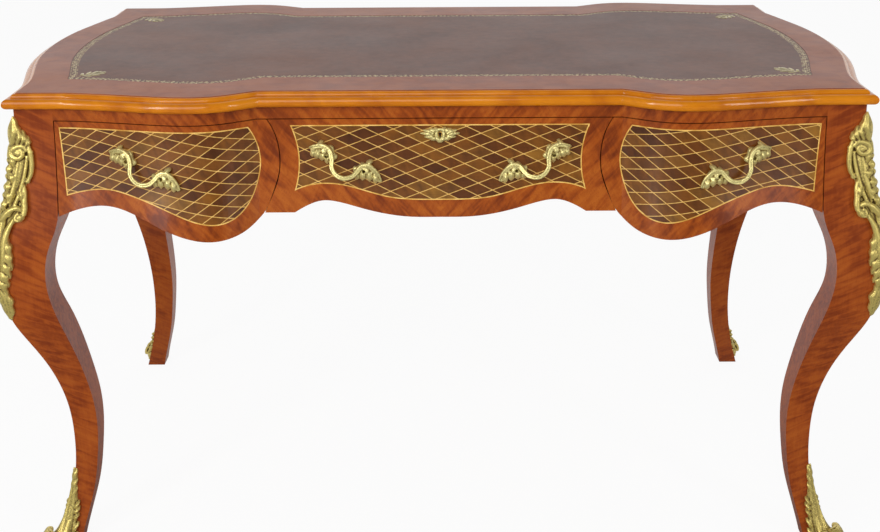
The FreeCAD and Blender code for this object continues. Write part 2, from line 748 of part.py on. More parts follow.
side_edge = seen(waist_x, front_span, edge_run_shares, size("front_drop"), edge_drop_shares)
side_top = V(side_edge[0].x, 0, drawer_top)
side_outline = front_prism("side_outline", [side_edge, [side_edge[-1], side_top], [side_top, side_edge[0]]])
end_edge = [point - ACROSS * size("seam_gap") for point in side_edge[end_start_share:]]
arch = seen(0, waist_x, arch_run_shares, size("middle_drop"), arch_drop_shares)
arch[0] = V(arch[0].x, 0, end_edge[0].z)
arch_all = arch + [V(0, 0, drawer_top - size("middle_drop"))] + flipped(arch)
middle_outline = front_prism("middle_outline", [
    arch_all, [arch_all[-1], flipped(end_edge)[-1]], list(reversed(flipped(end_edge))),
    [flipped(end_edge)[0], end_edge[-1]], list(reversed(end_edge)), [end_edge[0], arch_all[0]]])
field_edge = seen(waist_x, front_span, side_field_run_shares, size("front_drop"), side_field_drop_shares)
field_end = V(waist_x + front_span * side_field_end_share, 0, field_edge[0].z)
side_field = front_prism("side_field", [field_edge, [field_edge[-1], field_end], [field_end, field_edge[0]]])
waist = seen(0, waist_x, waist_field_run_shares, size("middle_drop"), waist_field_drop_shares)
field_arch = seen(0, waist_x, arch_field_run_shares, size("middle_drop"), arch_field_drop_shares)
field_arch += [V(0, 0, drawer_top - size("middle_drop") * arch_field_mid_share)] + flipped(field_arch)
middle_field = front_prism("middle_field", [
    waist, field_arch, flipped(waist), [flipped(waist)[-1], waist[0]]])


# Pulls: a bar bowed out and down between two leafy ends, on the slope of the surface.
def plan_at(x):
    """Distance of the frieze in front of the middle of the desk."""
    if x <= crease_front.x:
        return -crease_front.y
    low = frieze_right.FirstParameter
    high = frieze_right.LastParameter
    halvings_share = 48
    for _ in range(halvings_share):
        middle = (low + high) / 2
        if frieze_right.value(middle).x < x:
            low = middle
        else:
            high = middle
    return -frieze_right.value(low).y


def on_front(x, z):
    return V(x, -plan_at(x) - sweep_at(z), z)


def pull_place(x, z):
    """Placement with X along the pull, Y into the front and Z up the slope."""
    step = size("pull_bar")
    along = on_front(x + step, z) - on_front(x - step, z)
    rise = on_front(x, z + step) - on_front(x, z - step)
    along.normalize()
    rise.normalize()
    inward = rise.cross(along)
    inward.normalize()
    slope = math.radians(size("pull_slope"))
    run_way = along * math.cos(slope) + rise * math.sin(slope)
    turn = FreeCAD.Rotation(run_way, inward, run_way.cross(inward), "XYZ")
    return FreeCAD.Placement(on_front(x, z), turn)


leaf_long_share = 0.17
leaf_wide_share = 1.15
leaf_curl_share = 0.55
bar_sag_share = 0.55
foot_rise_share = 0.35
bolt_head_share = 0.6
full_turn_share = 360


def spindle(centre, half, radius):
    """Solid of revolution about the pull's length, an ellipse in profile."""
    ellipse = Part.Ellipse(centre, half, radius)
    profile = Part.ArcOfEllipse(ellipse, 0, math.pi).toShape()
    axis = Part.makeLine(profile.valueAt(profile.LastParameter), profile.valueAt(profile.FirstParameter))
    return Part.Face(Part.Wire([profile, axis])).revolve(centre, ACROSS, full_turn_share)


def pull_shape():
    """Pull about its own middle, Y into the wood."""
    half = size("pull_span") / 2
    reach = size("pull_reach")
    leaf = size("pull_leaf")
    low = V(-half, -leaf * foot_rise_share, 0)
    high = V(half, -leaf * foot_rise_share, 0)
    bar_path = Part.Arc(low, V(0, -reach, -reach * bar_sag_share), high).toShape()
    tangent = bar_path.tangentAt(bar_path.FirstParameter)
    ring = Part.Wire(Part.Circle(low, tangent, size("pull_bar")).toShape())
    shape = Part.Wire(bar_path).makePipeShell([ring], True, False)
    long = size("pull_length") * leaf_long_share
    for way in (-1, 1):
        tip = (size("pull_length") / 2 - long) * way
        curl = Part.makeSphere(leaf, V(half * way, -leaf * leaf_curl_share, leaf * leaf_curl_share))
        shape = shape.fuse(spindle(V(tip, 0, 0), long, leaf * leaf_wide_share)).fuse(curl)
    return shape


def pull_set(name, x):
    """Pull, bolts and nuts of one pull on the right half, with the tools for the bolt holes."""
    place = pull_place(x, size("pull_height"))
    blank = feature(name + "_blank", pull_shape())
    blank.Placement = place
    bolts = []
    holes = []
    nuts = []
    inward = place.Rotation.multVec(ALONG)
    for way in (-1, 1):
        half = size("pull_span") / 2 * way
        start = place.multVec(V(half, -size("pull_leaf") * bolt_head_share, 0))
        depth = size("front_thick") + size("pull_leaf") + size("nut_thick") * 2
        bolts.append(feature(name + "_bolt", Part.makeCylinder(size("bolt_radius"), depth, start, inward)))
        wide = size("bolt_radius") + size("bolt_clear")
        holes.append(feature(name + "_hole", Part.makeCylinder(wide, depth, start, inward)))
        seat = start + inward * (depth - size("nut_thick") * 2)
        nut = Part.makeCylinder(size("nut_radius"), size("nut_thick"), seat, inward)
        nuts.append(feature(name + "_nut_blank", nut))
    seated = cut_all(name + "_seated", blank, [seat_blank] + bolts)
    nuts = [cut_all(name + "_nut", nut, [front_blank] + bolts) for nut in nuts]
    return seated, bolts + nuts, holes


side_pull, side_bolts, side_holes = pull_set("side_pull", size("side_pull_x"))
middle_pull, middle_bolts, middle_holes = pull_set("middle_pull", size("middle_pull_x"))


def both(name, items):
    """Pieces on the right half and their mirror images."""
    listed = list(items)
    for item in items:
        listed.append(mirrored(name + "_mirror", item, ACROSS))
    return listed


# Keyhole, escutcheon and lock of the middle drawer.
bow_hole = rod("bow_hole", "keyhole_radius", "desk_height - lock_rear - lock_thick / 2 - latch_thick / 2",
               "seam_x - seam_x", "-desk_height", "keyhole_z", ALONG)
bit_hole = board("bit_hole", ("-keyhole_radius / 2", "keyhole_radius / 2"),
                 ("-desk_height", "-lock_rear - lock_thick / 2 - latch_thick / 2"),
                 ("keyhole_z - keyhole_drop", "keyhole_z"))
keyhole = fuse("keyhole", [bow_hole, bit_hole])
plate_run_shares = (1.0, 0.62, 0.30)
plate_rise_shares = (0.15, 0.72, 0.70)
plate_low_shares = (-0.10, -0.55, -0.78)
plate_crown_share = 1.0


def plate_prism():
    """Cartouche outline of the escutcheon, seen from the front."""
    wide = size("plate_width") / 2
    tall = size("plate_height") / 2
    middle = V(0, 0, size("keyhole_z"))
    high = [middle + V(wide * x, 0, tall * z) for x, z in zip(plate_run_shares, plate_rise_shares)]
    low = [middle + V(wide * x, 0, tall * z) for x, z in zip(plate_run_shares, plate_low_shares)]
    mirror_high = [V(-point.x, 0, point.z) for point in reversed(high)]
    mirror_low = [V(-point.x, 0, point.z) for point in reversed(low)]
    crown = [middle + V(0, 0, tall * plate_crown_share)]
    heel = [middle - V(0, 0, tall * plate_crown_share)]
    around = high + crown + mirror_high + list(reversed(mirror_low)) + heel + list(reversed(low))
    curve = Part.BSplineCurve()
    curve.interpolate(Points=around, PeriodicFlag=True)
    return feature("plate_prism", Part.Face(Part.Wire(curve.toShape())).extrude(OUT * size("desk_height")))


plate_blank = front_slab("plate_blank", size("plate_thick") + size("front_thick") / 2, size("plate_thick"))
plate_cast = cut_all("plate_cast", common("plate_body", [plate_blank, plate_prism()]), [seat_blank])
escutcheon = cut("escutcheon", plate_cast, keyhole)
lock_x = ("-lock_width / 2", "lock_width / 2")
lock_y = ("-lock_rear - lock_thick", "-lock_rear")
lock_blank = board("lock_blank", lock_x, lock_y, ("drawer_top - lock_height", "drawer_top"))
latch_way = board("latch_way", ("-latch_width / 2 - running_gap", "latch_width / 2 + running_gap"),
                  ("-lock_rear - latch_y - running_gap", "-lock_rear - latch_y + latch_thick + running_gap"),
                  ("drawer_top - latch_height - running_gap", "drawer_top + running_gap"))
lock_case = cut_all("lock_case", lock_blank, [latch_way, keyhole])
lock_bolt = board("lock_bolt", ("-latch_width / 2", "latch_width / 2"),
                  ("-lock_rear - latch_y", "-lock_rear - latch_y + latch_thick"),
                  ("drawer_top - latch_height", "drawer_top"))
lock_pocket = board("lock_pocket", lock_x, ("-lock_rear - lock_thick", "-lock_rear + lock_thick"),
                    ("drawer_top - lock_height", "drawer_top + seam_gap"))


# Drawers: shaped front, walls lapped into it, floor in grooves.
def wall(name, x, front):
    """Drawer wall lapped into the drawer front."""
    return board(name, x, ("-%s + lap_cover" % front, "box_rear"), ("box_low", "box_high"))


def drawer_box(name, low, high, low_front, high_front):
    """Walls, back and floor of a drawer between two places across."""
    floor_board = board(name + "_floor_board",
                        ("%s + drawer_wall - groove_depth" % low, "%s - drawer_wall + groove_depth" % high),
                        ("-frieze_y - front_bulge", "box_rear"), ("floor_low", "floor_high"))
    floor = cut(name + "_bottom", floor_board, groove_blank)
    left = wall(name + "_left_blank", (low, low + " + drawer_wall"), low_front)
    right = wall(name + "_right_blank", (high + " - drawer_wall", high), high_front)
    walls = [cut(name + "_left_wall", left, floor_board), cut(name + "_right_wall", right, floor_board)]
    back = board(name + "_back", ("%s + drawer_wall" % low, "%s - drawer_wall" % high),
                 ("box_rear - drawer_rear", "box_rear"), ("floor_high", "box_high - drawer_headroom"))
    return group(name + "_sides", walls), back, floor


def drawer_front(name, outline, field, others):
    """Front with its lap slots, groove and recess."""
    body = common(name + "_body", [front_blank, outline])
    recess = common(name + "_recess", [recess_blank, field])
    return cut_all(name, body, [recess] + others)


right_drawer_sides, right_drawer_back, right_drawer_bottom = drawer_box(
    "right_drawer", "side_box_left", "side_box_right", "frieze_y", "leg_corner_y")
middle_drawer_sides, middle_drawer_back, middle_drawer_bottom = drawer_box(
    "middle_drawer", "-middle_box_x", "middle_box_x", "frieze_y", "frieze_y")
all_middle_holes = both("middle_hole", middle_holes)
right_drawer_front = drawer_front("right_drawer_front", side_outline, side_field,
                                  side_holes + [right_drawer_sides, right_drawer_bottom])
middle_drawer_front = drawer_front("middle_drawer_front", middle_outline, middle_field, all_middle_holes + [
    middle_drawer_sides, middle_drawer_bottom, keyhole, lock_pocket])
side_veneer = common("side_veneer", [field_blank, side_field])
right_drawer_parquetry = cut_all("right_drawer_parquetry", side_veneer, side_holes)
middle_veneer = common("middle_veneer", [field_blank, middle_field])
middle_drawer_parquetry = cut_all("middle_drawer_parquetry", middle_veneer, all_middle_holes + [keyhole])
right_drawer_pull = side_pull
right_drawer_pull_bolts = group("right_drawer_pull_bolts", side_bolts)
middle_drawer_pulls = group("middle_drawer_pulls", both("middle_pull", [middle_pull]))
middle_drawer_pull_bolts = group("middle_drawer_pull_bolts", both("middle_bolt", middle_bolts))

# Dummy fronts at the back, with parquetry and pulls but no box and no lock.
panel_right = drawer_front("panel_right", side_outline, side_field, side_holes)
panel_middle = drawer_front("panel_middle", middle_outline, middle_field, all_middle_holes)
back_panel_right = mirrored("back_panel_right", panel_right, ALONG)
back_panel_left = mirrored("back_panel_left", back_panel_right, ACROSS)
back_panel_middle = mirrored("back_panel_middle", panel_middle, ALONG)
back_veneers = both("back_veneer", [right_drawer_parquetry])
back_veneers.append(cut_all("back_middle_veneer", middle_veneer, all_middle_holes))
back_parquetry = mirrored("back_parquetry", group("back_veneers", back_veneers), ALONG)
back_pull_set = group("back_pull_set", both("back_pull", [side_pull, middle_pull]))
back_pulls = mirrored("back_pulls", back_pull_set, ALONG)
back_bolt_set = group("back_bolt_set", both("back_bolt", side_bolts + middle_bolts))
back_pull_bolts = mirrored("back_pull_bolts", back_bolt_set, ALONG)

# Gilt mounts: one wraps each knee, one wraps each foot, both over the outer edge of the leg.
knee_height_shares = (0.961, 0.939, 0.907, 0.881, 0.848, 0.816, 0.793, 0.772, 0.738, 0.699, 0.661, 0.622,
                      0.583, 0.55)
knee_width_shares = (0.06, 0.37, 0.89, 1.0, 0.79, 0.74, 0.70, 0.42, 0.34, 0.37, 0.32, 0.32, 0.22, 0.05)
knee_thick_shares = (0.2, 0.7, 1.0, 1.0, 0.85, 0.85, 1.0, 0.6, 0.6, 0.85, 0.7, 0.6, 0.45, 0.2)
foot_height_shares = (0.166, 0.149, 0.13, 0.097, 0.065, 0.039, 0.016, 0.0)
foot_width_shares = (0.05, 0.24, 0.37, 0.53, 0.66, 0.74, 0.79, 0.81)
foot_thick_shares = (0.25, 0.6, 0.67, 0.75, 1.0, 1.0, 0.85, 0.67)
toe_height_share = 0.052
toe_out_share = 1.0


def mount(name, heights, widths, thicks, thick, extras):
    """Cast mount that follows the outer edge of the right front leg."""
    outer = []
    inner = []
    for up, wide, out in zip(heights, widths, thicks):
        z = carcase_top * up
        edge = sweep_at(z)
        outer.append(V(edge + thick * out, 0, z))
        inner.append(V(edge - size("mount_width") * wide, 0, z))
    inner.reverse()
    outline = [outer, [outer[-1], inner[0]], inner, [inner[-1], outer[0]]]
    body = cross_profile(name + "_body", outline, outline, size("leg_post") * 3)
    if extras:
        body = fuse(name + "_cast", [body] + extras)
    return cut(name, body, leg_blank)


knee_front_right = mount("knee_mount_front_right", knee_height_shares, knee_width_shares, knee_thick_shares,
                         size("mount_thick"), [])
toe_z = carcase_top * toe_height_share
toe_out = sweep_at(toe_z) + size("toe_radius") * toe_out_share
toe_place = V(leg_corner_x + toe_out, -leg_corner_y - toe_out, toe_z)
toe = feature("toe", Part.makeSphere(size("toe_radius"), toe_place))
sabot = mount("sabot", foot_height_shares, foot_width_shares, foot_thick_shares, size("sabot_thick"), [toe])
knee_front_left = mirrored("knee_mount_front_left", knee_front_right, ACROSS)
sabot_left = mirrored("sabot_left", sabot, ACROSS)
front_sabots = group("front_sabots", [sabot, sabot_left])

NODES = {
    "top_panel": top_panel,
    "top_crossband": top_crossband,
    "leather_inset": leather_inset,
    "edge_moulding_front": edge_moulding_front,
    "edge_moulding_back": edge_moulding_back,
    "edge_moulding_left": edge_moulding_left,
    "edge_moulding_right": edge_moulding_right,
    "leg_front_left": leg_front_left,
    "leg_front_right": leg_front_right,
    "leg_back_left": leg_back_left,
    "leg_back_right": leg_back_right,
    "front_top_rail": front_top_rail,
    "back_top_rail": back_top_rail,
    "front_lower_rail": front_lower_rail,
    "back_lower_rail": back_lower_rail,
    "left_side_apron": left_side_apron,
    "right_side_apron": right_side_apron,
    "side_parquetry": side_parquetry,
    "back_panel_left": back_panel_left,
    "back_panel_middle": back_panel_middle,
    "back_panel_right": back_panel_right,
    "back_parquetry": back_parquetry,
    "back_pulls": back_pulls,
    "back_pull_bolts": back_pull_bolts,
    "drawer_runners": drawer_runners,
    "drawer_dividers": drawer_dividers,
    "drawer_guides": drawer_guides,
    "drawer_kickers": drawer_kickers,
    "corner_blocks": corner_blocks,
    "top_screws": top_screws,
    "knee_mount_front_left": knee_front_left,
    "knee_mount_front_right": knee_front_right,
    "knee_mount_back_left": mirrored("knee_mount_back_left", knee_front_left, ALONG),
    "knee_mount_back_right": mirrored("knee_mount_back_right", knee_front_right, ALONG),
    "front_sabots": front_sabots,
    "back_sabots": mirrored("back_sabots", front_sabots, ALONG),
    "middle_drawer_front": middle_drawer_front,
    "middle_drawer_parquetry": middle_drawer_parquetry,
    "middle_drawer_sides": middle_drawer_sides,
    "middle_drawer_back": middle_drawer_back,
    "middle_drawer_bottom": middle_drawer_bottom,
    "middle_drawer_pulls": middle_drawer_pulls,
    "middle_drawer_pull_bolts": middle_drawer_pull_bolts,
    "escutcheon": escutcheon,
    "lock_case": lock_case,
    "lock_bolt": lock_bolt,
}
for part_name, part in (("front", right_drawer_front), ("parquetry", right_drawer_parquetry),
                        ("sides", right_drawer_sides), ("back", right_drawer_back),
                        ("bottom", right_drawer_bottom), ("pull", right_drawer_pull),
                        ("pull_bolts", right_drawer_pull_bolts)):
    NODES["right_drawer_" + part_name] = part
    NODES["left_drawer_" + part_name] = mirrored("left_drawer_" + part_name, part, ACROSS)

doc.recompute()
for node_name, node in NODES.items():
    node.Label = node_name
for item in doc.Objects:
    if "Invalid" in item.State or "Error" in item.State:
        raise RuntimeError("%s did not recompute" % item.Name)
os.makedirs("parts", exist_ok=True)
for node_name, node in NODES.items():
    shape = node.Shape
    if shape.isNull() or not shape.isValid() or shape.Volume <= 0:
        raise RuntimeError("%s has no good shape" % node_name)
    shape.exportStep("parts/%s.step" % node_name)
    print("%s: %d solids, %.1f cm3" % (node_name, len(shape.Solids), shape.Volume / 1000))
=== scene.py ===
"""A serpentine flat-topped writing desk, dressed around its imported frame."""
import logging
import math
from dataclasses import dataclass, field, replace
from enum import Enum
from typing import Callable, Iterable, Optional, Sequence, Union

import bmesh
import bpy
import numpy as np
from mathutils import Euler, Matrix, Vector
from mathutils.bvhtree import BVHTree


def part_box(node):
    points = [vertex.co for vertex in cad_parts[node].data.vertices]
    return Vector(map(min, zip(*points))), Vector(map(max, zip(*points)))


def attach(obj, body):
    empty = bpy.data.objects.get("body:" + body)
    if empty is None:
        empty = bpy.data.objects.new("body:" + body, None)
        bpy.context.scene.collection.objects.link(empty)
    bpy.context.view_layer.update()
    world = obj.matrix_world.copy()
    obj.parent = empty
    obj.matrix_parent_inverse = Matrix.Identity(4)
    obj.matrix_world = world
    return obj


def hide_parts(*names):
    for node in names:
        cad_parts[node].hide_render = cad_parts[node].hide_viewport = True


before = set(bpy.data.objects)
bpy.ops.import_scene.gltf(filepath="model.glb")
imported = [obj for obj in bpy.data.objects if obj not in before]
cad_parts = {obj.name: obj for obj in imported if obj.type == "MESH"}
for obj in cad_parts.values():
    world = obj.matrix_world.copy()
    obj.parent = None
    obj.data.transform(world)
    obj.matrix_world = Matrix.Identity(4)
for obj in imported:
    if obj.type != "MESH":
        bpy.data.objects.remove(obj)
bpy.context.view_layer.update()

MM = 0.001
LOG = logging.getLogger("desk")

Triple = tuple[float, float, float]
Colour = tuple[float, float, float, float]
Stops = Sequence[tuple[float, Colour]]
Node = bpy.types.Node
Socket = bpy.types.NodeSocket
Wire = Union[Socket, float, tuple, None]
Mesh = bpy.types.Mesh
Shape = bmesh.types.BMesh
Seat = Callable[[float, float, float], Vector]
Path = Sequence[Sequence[float]]
VERT, EDGE, FACE = bmesh.types.BMVert, bmesh.types.BMEdge, bmesh.types.BMFace


def tone(red: int, green: int, blue: int) -> Colour:
    """Gives a colour, named by its 0 to 255 display values, as the renderer's linear values."""
    shares = [value / 255 for value in (red, green, blue)]
    return (*(s / 12.92 if s <= 0.04045 else ((s + 0.055) / 1.055) ** 2.4 for s in shares), 1.0)


def picked(made: dict, kind: type) -> list:
    """Gives the parts of one kind, such as verts, that a bmesh operator made."""
    return [part for part in made["geom"] if isinstance(part, kind)]


class Axis(Enum):
    """The axis that a shape is mirrored along."""
    X = 0
    Y = 1


class Facing(Enum):
    """The side of the desk that a panel looks to."""
    FRONT = (0.0, -1.0, 0.0)
    BACK = (0.0, 1.0, 0.0)
    LEFT = (-1.0, 0.0, 0.0)
    RIGHT = (1.0, 0.0, 0.0)


class Bench:
    """A node tree with short ways to place and wire its nodes."""
    # The Mix node's inputs and output for colours.
    FIRST, SECOND, MIXED = 6, 7, 2

    def __init__(self, tree: bpy.types.NodeTree) -> None:
        """Takes the tree to work on."""
        self.tree = tree

    def put(self, kind: str, wires: Optional[dict] = None, **settings: object) -> Node:
        """Places a node.

        Args:
            kind: The node's type, without the ShaderNode prefix.
            wires: For each input, a socket to link from or a value to hold.
            settings: Properties of the node.

        Returns:
            The node.
        """
        node = self.tree.nodes.new("ShaderNode" + kind)
        for name, value in settings.items():
            setattr(node, name, value)
        self.feed(node, wires or {})
        return node

    def feed(self, node: Node, wires: dict) -> None:
        """Links a node's inputs, or sets their own values.

        Args:
            node: The node.
            wires: For each input, a socket to link from or a value to hold.
        """
        for name, value in wires.items():
            if isinstance(value, Socket):
                self.tree.links.new(value, node.inputs[name])
            elif value is not None:
                node.inputs[name].default_value = value

    def here(self) -> Socket:
        """Gives the place on the object."""
        return self.put("TexCoord").outputs["Object"]

    def parts(self, vector: Wire) -> Sequence[Socket]:
        """Gives a vector's three numbers."""
        return self.put("SeparateXYZ", {0: vector}).outputs

    def vector(self, *numbers: Wire) -> Socket:
        """Gives a vector of two or three numbers."""
        return self.put("CombineXYZ", dict(enumerate(numbers))).outputs[0]

    def sum(self, operation: str, first: Wire, second: Wire = None, third: Wire = None) -> Socket:
        """Works out one number from up to three, by an operation of the Math node."""
        return self.put("Math", {0: first, 1: second, 2: third}, operation=operation).outputs[0]

    def step(self, value: Wire, low: float, high: float, start: float = 0.0, end: float = 1.0) -> Socket:
        """Turns a value's range from low to high into one from start to end, with soft ends."""
        wires = {"Value": value, "From Min": low, "From Max": high, "To Min": start, "To Max": end}
        return self.put("MapRange", wires, interpolation_type="SMOOTHSTEP").outputs[0]

    def mix(self, share: Wire, first: Wire, second: Wire) -> Socket:
        """Mixes a share of the second colour into the first."""
        wires = {0: share, self.FIRST: first, self.SECOND: second}
        return self.put("Mix", wires, data_type="RGBA").outputs[self.MIXED]

    def ramp(self, value: Wire, stops: Stops) -> Socket:
        """Colours a value by stops.

        Args:
            value: The value from 0 to 1.
            stops: Each stop's place and colour.

        Returns:
            The colour's socket.
        """
        node = self.put("ValToRGB", {"Fac": value})
        band = node.color_ramp
        while len(band.elements) < len(stops):
            band.elements.new(0.5)
        for element, (place, colour) in zip(band.elements, stops):
            element.position, element.color = place, colour
        return node.outputs[0]

    def turned(self, vector: Wire, degrees: Triple) -> Socket:
        """Turns a place about the three axes."""
        angles = tuple(math.radians(angle) for angle in degrees)
        return self.put("Mapping", {"Vector": vector, "Rotation": angles}).outputs[0]

    def stretch(self, vector: Wire, scale: Wire, degrees: Triple = (0, 0, 0)) -> Socket:
        """Turns a place and then scales it, to lay a pattern along one direction."""
        return self.put("Mapping", {"Vector": self.turned(vector, degrees), "Scale": scale}).outputs[0]

    def noise(self, vector: Wire, scale: Wire, detail: float = 2.0, distortion: float = 0.0) -> Socket:
        """Gives a cloud of values about 0.5, at a scale of clouds a metre."""
        wires = {"Vector": vector, "Scale": scale, "Detail": detail, "Distortion": distortion}
        return self.put("TexNoise", wires).outputs[0]

    def bump(self, shader: Node, height: Socket, strength: float, depth: float) -> None:
        """Raises a shader's surface by a height, up to a depth in metres."""
        lumps = self.put("Bump", {"Height": height, "Strength": strength, "Distance": depth})
        self.feed(shader, {"Normal": lumps.outputs[0]})


def node_group(name: str, values: dict[str, float], results: Sequence[str],
               body: Callable[[Bench, dict], dict]) -> bpy.types.NodeTree:
    """Builds a shared effect once.

    Args:
        name: The effect's name.
        values: The numbers that it takes besides a place, with their defaults.
        results: The numbers that it gives.
        body: Draws the nodes from the inputs' sockets and returns the results' sockets by name.

    Returns:
        The group's tree.
    """
    if name in bpy.data.node_groups:
        return bpy.data.node_groups[name]
    tree = bpy.data.node_groups.new(name, "ShaderNodeTree")
    tree.interface.new_socket(name="Vector", in_out="INPUT", socket_type="NodeSocketVector")
    for label, default in values.items():
        socket = tree.interface.new_socket(name=label, in_out="INPUT", socket_type="NodeSocketFloat")
        socket.default_value = default
    for label in results:
        tree.interface.new_socket(name=label, in_out="OUTPUT", socket_type="NodeSocketFloat")
    bench = Bench(tree)
    given, taken = tree.nodes.new("NodeGroupInput"), tree.nodes.new("NodeGroupOutput")
    bench.feed(taken, body(bench, {s.name: s for s in given.outputs if s.name}))
    return tree


def wood_figure() -> bpy.types.NodeTree:
    """Gives the shared effect of figured wood: clouds, cross mottle, fine streaks and pores, grain along Z.

    Returns:
        The group's tree.
    """
    def body(b: Bench, given: dict) -> dict:
        """Draws the nodes.

        Args:
            b: The group's nodes.
            given: The inputs' sockets by name.

        Returns:
            The results' sockets by name.
        """
        place = given["Vector"]
        cloud = b.noise(b.stretch(place, (1.0, 1.0, 0.35)), given["Cloud"], 3, 0.7)
        flame = b.stretch(place, b.vector(1.0, 1.0, given["Flame"]), (0, -65, 14))
        mottle = b.noise(flame, given["Mottle"], 2, 0.6)
        streak = b.noise(b.stretch(place, (1.0, 1.0, 0.045)), given["Streak"], 4, 0.3)
        pores = b.noise(b.stretch(place, (1.0, 1.0, 0.05)), 1500.0, 1)
        mixed = b.sum("MULTIPLY_ADD", mottle, 0.46, b.sum("MULTIPLY", cloud, 0.40))
        figure = b.step(b.sum("MULTIPLY_ADD", streak, 0.14, mixed), 0.33, 0.67)
        return {"Figure": figure, "Pores": b.step(pores, 0.60, 0.72)}
    values = {"Cloud": 14.0, "Mottle": 45.0, "Flame": 0.3, "Streak": 240.0}
    return node_group("wood_figure", values, ["Figure", "Pores"], body)


def rubbed_polish() -> bpy.types.NodeTree:
    """Gives the shared effect of hand-rubbed polish: soft patches of duller gloss and a faint waviness.

    Returns:
        The group's tree.
    """
    def body(b: Bench, given: dict) -> dict:
        """Draws the nodes.

        Args:
            b: The group's nodes.
            given: The inputs' sockets by name.

        Returns:
            The results' sockets by name.
        """
        patch = b.noise(given["Vector"], 7.0, 3, 0.4)
        smear = b.noise(given["Vector"], 60.0, 3)
        rough = b.sum("MULTIPLY_ADD", b.sum("SUBTRACT", patch, 0.5), given["Spread"], given["Roughness"])
        less = b.sum("MULTIPLY", given["Spread"], 0.4)
        fine = b.sum("MULTIPLY_ADD", b.sum("SUBTRACT", smear, 0.5), less, rough)
        return {"Roughness": fine, "Wave": patch}
    return node_group("rubbed_polish", {"Roughness": 0.35, "Spread": 0.2}, ["Roughness", "Wave"], body)


def polish(b: Bench, shader: Node, roughness: float, spread: float) -> Socket:
    """Rubs a shader's gloss.

    Args:
        b: The material's nodes.
        shader: The shader.
        roughness: Its usual roughness.
        spread: How much that varies.

    Returns:
        The socket of the polish's waviness.
    """
    wires = {"Vector": b.here(), "Roughness": roughness, "Spread": spread}
    rubbed = b.put("Group", wires, node_tree=rubbed_polish()).outputs
    b.feed(shader, {"Roughness": rubbed["Roughness"]})
    return rubbed["Wave"]


@dataclass(frozen=True)
class Finish:
    """A surface: its name and the way its nodes are drawn."""
    name: str

    def draw(self, b: Bench, shader: Node) -> None:
        """Draws the nodes that feed the shader."""
        raise NotImplementedError

    def material(self) -> bpy.types.Material:
        """Makes the material on its first use.

        Returns:
            The material.
        """
        made = bpy.data.materials.get(self.name)
        if made is None:
            made = bpy.data.materials.new(self.name)
            made.use_nodes = True
            self.draw(Bench(made.node_tree), made.node_tree.nodes["Principled BSDF"])
        return made


@dataclass(frozen=True)
class PolishedWood(Finish):
    """Lacquered veneer or solid wood, with its grain turned as the piece needs."""
    dark: Colour
    middle: Colour
    light: Colour
    turn: Triple = (0.0, 0.0, 0.0)
    matched: bool = False
    cloud: float = 14.0
    mottle: float = 45.0
    flame: float = 0.3
    streak: float = 240.0
    pores: float = 0.45
    roughness: float = 0.34
    spread: float = 0.16
    coat: float = 0.5
    coat_roughness: float = 0.12
    gloss: float = 0.25
    bump: float = 0.06
    bump_depth: float = 0.002

    def draw(self, b: Bench, shader: Node) -> None:
        """Draws the grain, its colours and the polish.

        Args:
            b: The material's nodes.
            shader: The shader that they feed.
        """
        place = b.here()
        if self.matched:
            x, y, z = b.parts(place)
            place = b.vector(b.sum("ABSOLUTE", x), b.sum("ABSOLUTE", y), z)
        wires = {"Vector": b.turned(place, self.turn), "Cloud": self.cloud, "Mottle": self.mottle,
                 "Flame": self.flame, "Streak": self.streak}
        grain = b.put("Group", wires, node_tree=wood_figure()).outputs
        colour = b.ramp(grain["Figure"], [(0.0, self.dark), (0.5, self.middle), (1.0, self.light)])
        wave = b.sum("MULTIPLY", polish(b, shader, self.roughness, self.spread), 0.8)
        b.bump(shader, b.sum("MULTIPLY_ADD", grain["Pores"], -0.5, wave), self.bump, self.bump_depth)
        b.feed(shader, {"Base Color": b.mix(b.sum("MULTIPLY", grain["Pores"], self.pores), colour, self.dark),
                        "Coat Weight": self.coat, "Coat Roughness": self.coat_roughness,
                        "Specular IOR Level": self.gloss})


